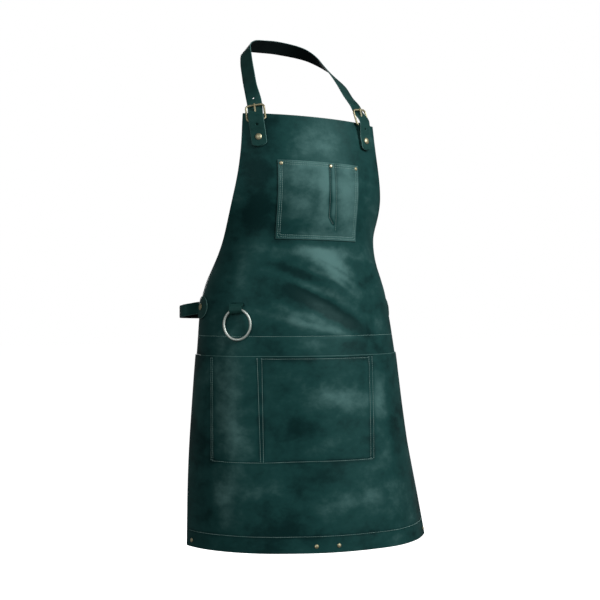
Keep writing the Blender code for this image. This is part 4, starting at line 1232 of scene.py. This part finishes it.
def make_ring(looks):
    wire_r = RING_WIRE / 2
    tall, wide = RING_HEIGHT / 2 - wire_r, RING_WIDTH / 2 - wire_r
    turn = math.asin(RING_LOOP_WIDTH / 2 / wide)
    dip = tall * (1 - math.cos(turn))
    slope = tall / wide * math.tan(turn)
    out = SEAT + dip / 2 + wire_r * math.hypot(1.0, slope) + RING_PLAY + LEATHER
    spot = Frame(-RING_AT, SLIT_DROP, RING_HEIGHT)
    foot = place(-RING_AT, SLIT_DROP + RING_HEIGHT, LEATHER + wire_r + 2 * SEAT)[0]
    centre = spot.at(0.0, -RING_LOOP_DROP, out)
    hang = foot - centre
    hang -= hang.dot(spot.right) * spot.right
    hang.normalize()
    points = []
    for i in range(120):
        turn = 2 * math.pi * i / 120
        down = tall - tall * math.cos(turn) - dip / 2
        points.append(centre + wide * math.sin(turn) * spot.right + down * hang)
    ring = tube("tool_ring", points, wire_r, looks, "ring", 20)
    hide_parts("ring")


def dress_node(name, looks, rounding_width):
    """A carried-over solid: softened edges and its own finish."""
    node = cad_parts[name]
    modifier = node.modifiers.new("soft_edges", "BEVEL")
    modifier.width = rounding_width
    modifier.segments = 2
    modifier.limit_method = "ANGLE"
    modifier.angle_limit = math.radians(40)
    node.data.materials.clear()
    node.data.materials.append(looks)


def make_camera():
    data = bpy.data.cameras.new("camera")
    camera = bpy.data.objects.new("camera", data)
    bpy.context.scene.collection.objects.link(camera)
    camera.location = CAMERA_AT
    camera.rotation_euler = Vector(CAMERA_AHEAD).to_track_quat("-Z", "Y").to_euler()
    data.lens = CAMERA_LENS
    data.sensor_width = 36.0
    data.shift_x, data.shift_y = CAMERA_SHIFT
    bpy.context.scene.camera = camera


def make_light(name, spot, aim, size, power):
    data = bpy.data.lights.new(name, "AREA")
    data.shape = "SQUARE"
    data.size = size
    data.energy = power
    light = bpy.data.objects.new(name, data)
    bpy.context.scene.collection.objects.link(light)
    light.visible_camera = False
    light.location = spot
    light.rotation_euler = (Vector(aim) - Vector(spot)).to_track_quat("-Z", "Y").to_euler()


def make_studio():
    corners = [(x * FLOOR_HALF, y * FLOOR_HALF, FLOOR_LEVEL)
               for x, y in ((-1, -1), (1, -1), (1, 1), (-1, 1))]
    floor = new_piece("floor", corners, [(0, 1, 2, 3)], [pale_material("studio_floor", 0.9)], None)
    floor.visible_diffuse = False
    floor.visible_glossy = False
    world = bpy.data.worlds.new("studio")
    world.use_nodes = True
    backdrop = world.node_tree.nodes["Background"]
    seen = Shade(world.node_tree, None).of("ShaderNodeLightPath", "Is Camera Ray")
    feed(backdrop, seen * (BACKDROP - SOFT_LIGHT) + SOFT_LIGHT, "Strength")
    backdrop.inputs["Color"].default_value = colour(1.0, 1.0, 1.0)
    bpy.context.scene.world = world
    bpy.context.scene.view_settings.view_transform = "Standard"
    for light in LIGHTS:
        make_light(*light)


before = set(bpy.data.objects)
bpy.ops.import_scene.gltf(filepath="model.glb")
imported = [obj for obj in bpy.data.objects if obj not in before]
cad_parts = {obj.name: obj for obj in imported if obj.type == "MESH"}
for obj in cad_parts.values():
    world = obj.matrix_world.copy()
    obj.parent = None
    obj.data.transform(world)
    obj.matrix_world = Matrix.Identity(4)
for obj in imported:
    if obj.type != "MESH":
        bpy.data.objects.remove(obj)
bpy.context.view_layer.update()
make_camera()
make_studio()

HIDE = hide_material("waxed_hide", (0.0030, 0.0240, 0.0240), (0.0120, 0.0640, 0.0610),
                     (0.1050, 0.2300, 0.2200), 0.46, True)
STRAP_HIDE = hide_material("strap_hide", (0.0045, 0.0290, 0.0265), (0.0160, 0.0680, 0.0610),
                           (0.0560, 0.1400, 0.1250), 0.44, False)
BACK = flesh_material("hide_back", (0.030, 0.055, 0.052), (0.060, 0.100, 0.094))
# The straps' back: the dark flesh side darkened to near black as painted shade.
STRAP_BACK_IN_SHADE = flesh_material("strap_back_in_shade", (0.0016, 0.0050, 0.0052), (0.0045, 0.0105, 0.0105))
THREAD_LOOKS = thread_material()
BRASS = metal_material("aged_brass", (0.44, 0.40, 0.24), (0.80, 0.76, 0.53), 0.40, 70.0)
NICKEL = metal_material("pale_nickel", (0.68, 0.75, 0.70), (0.86, 0.95, 0.90), 0.42, 40.0)

make_body_panel((HIDE, BACK))
make_skirt_panel((HIDE, BACK))
make_chest_pocket((HIDE, BACK))
make_neck_strap((STRAP_HIDE, STRAP_BACK_IN_SHADE))
make_waist_straps((STRAP_HIDE, STRAP_BACK_IN_SHADE))
for buckle_side, buckle_word in SIDES:
    make_buckle(buckle_side, buckle_word, (BRASS,))
    dress_node(f"chape_{buckle_word}", STRAP_HIDE, rounding_width=0.0003)
    dress_node(f"buckle_prong_{buckle_word}", BRASS, rounding_width=0.0004)
make_studs((BRASS,))
make_ring((NICKEL,))
dress_node("ring_loop", STRAP_HIDE, rounding_width=0.0004)
dress_node("back_clasp", BRASS, rounding_width=0.0006)

THREAD_LIFT = LEATHER - THREAD_SINK
make_stitches("chest_pocket_stitches", pocket_lines(),
              lambda x, y: LEATHER + GAP + THREAD_LIFT + pocket_puff(x, y), (THREAD_LOOKS,), 1)
make_stitches("skirt_stitches", seam_lines(SKIRT_SEAMS),
              lambda x, y: LEATHER + GAP + THREAD_LIFT + skirt_puff(x, y), (THREAD_LOOKS,), 2)
make_stitches("waist_stitches", seam_lines((WAIST_SEAM,)), lambda x, y: THREAD_LIFT + 0 * x,
              (THREAD_LOOKS,), 3)
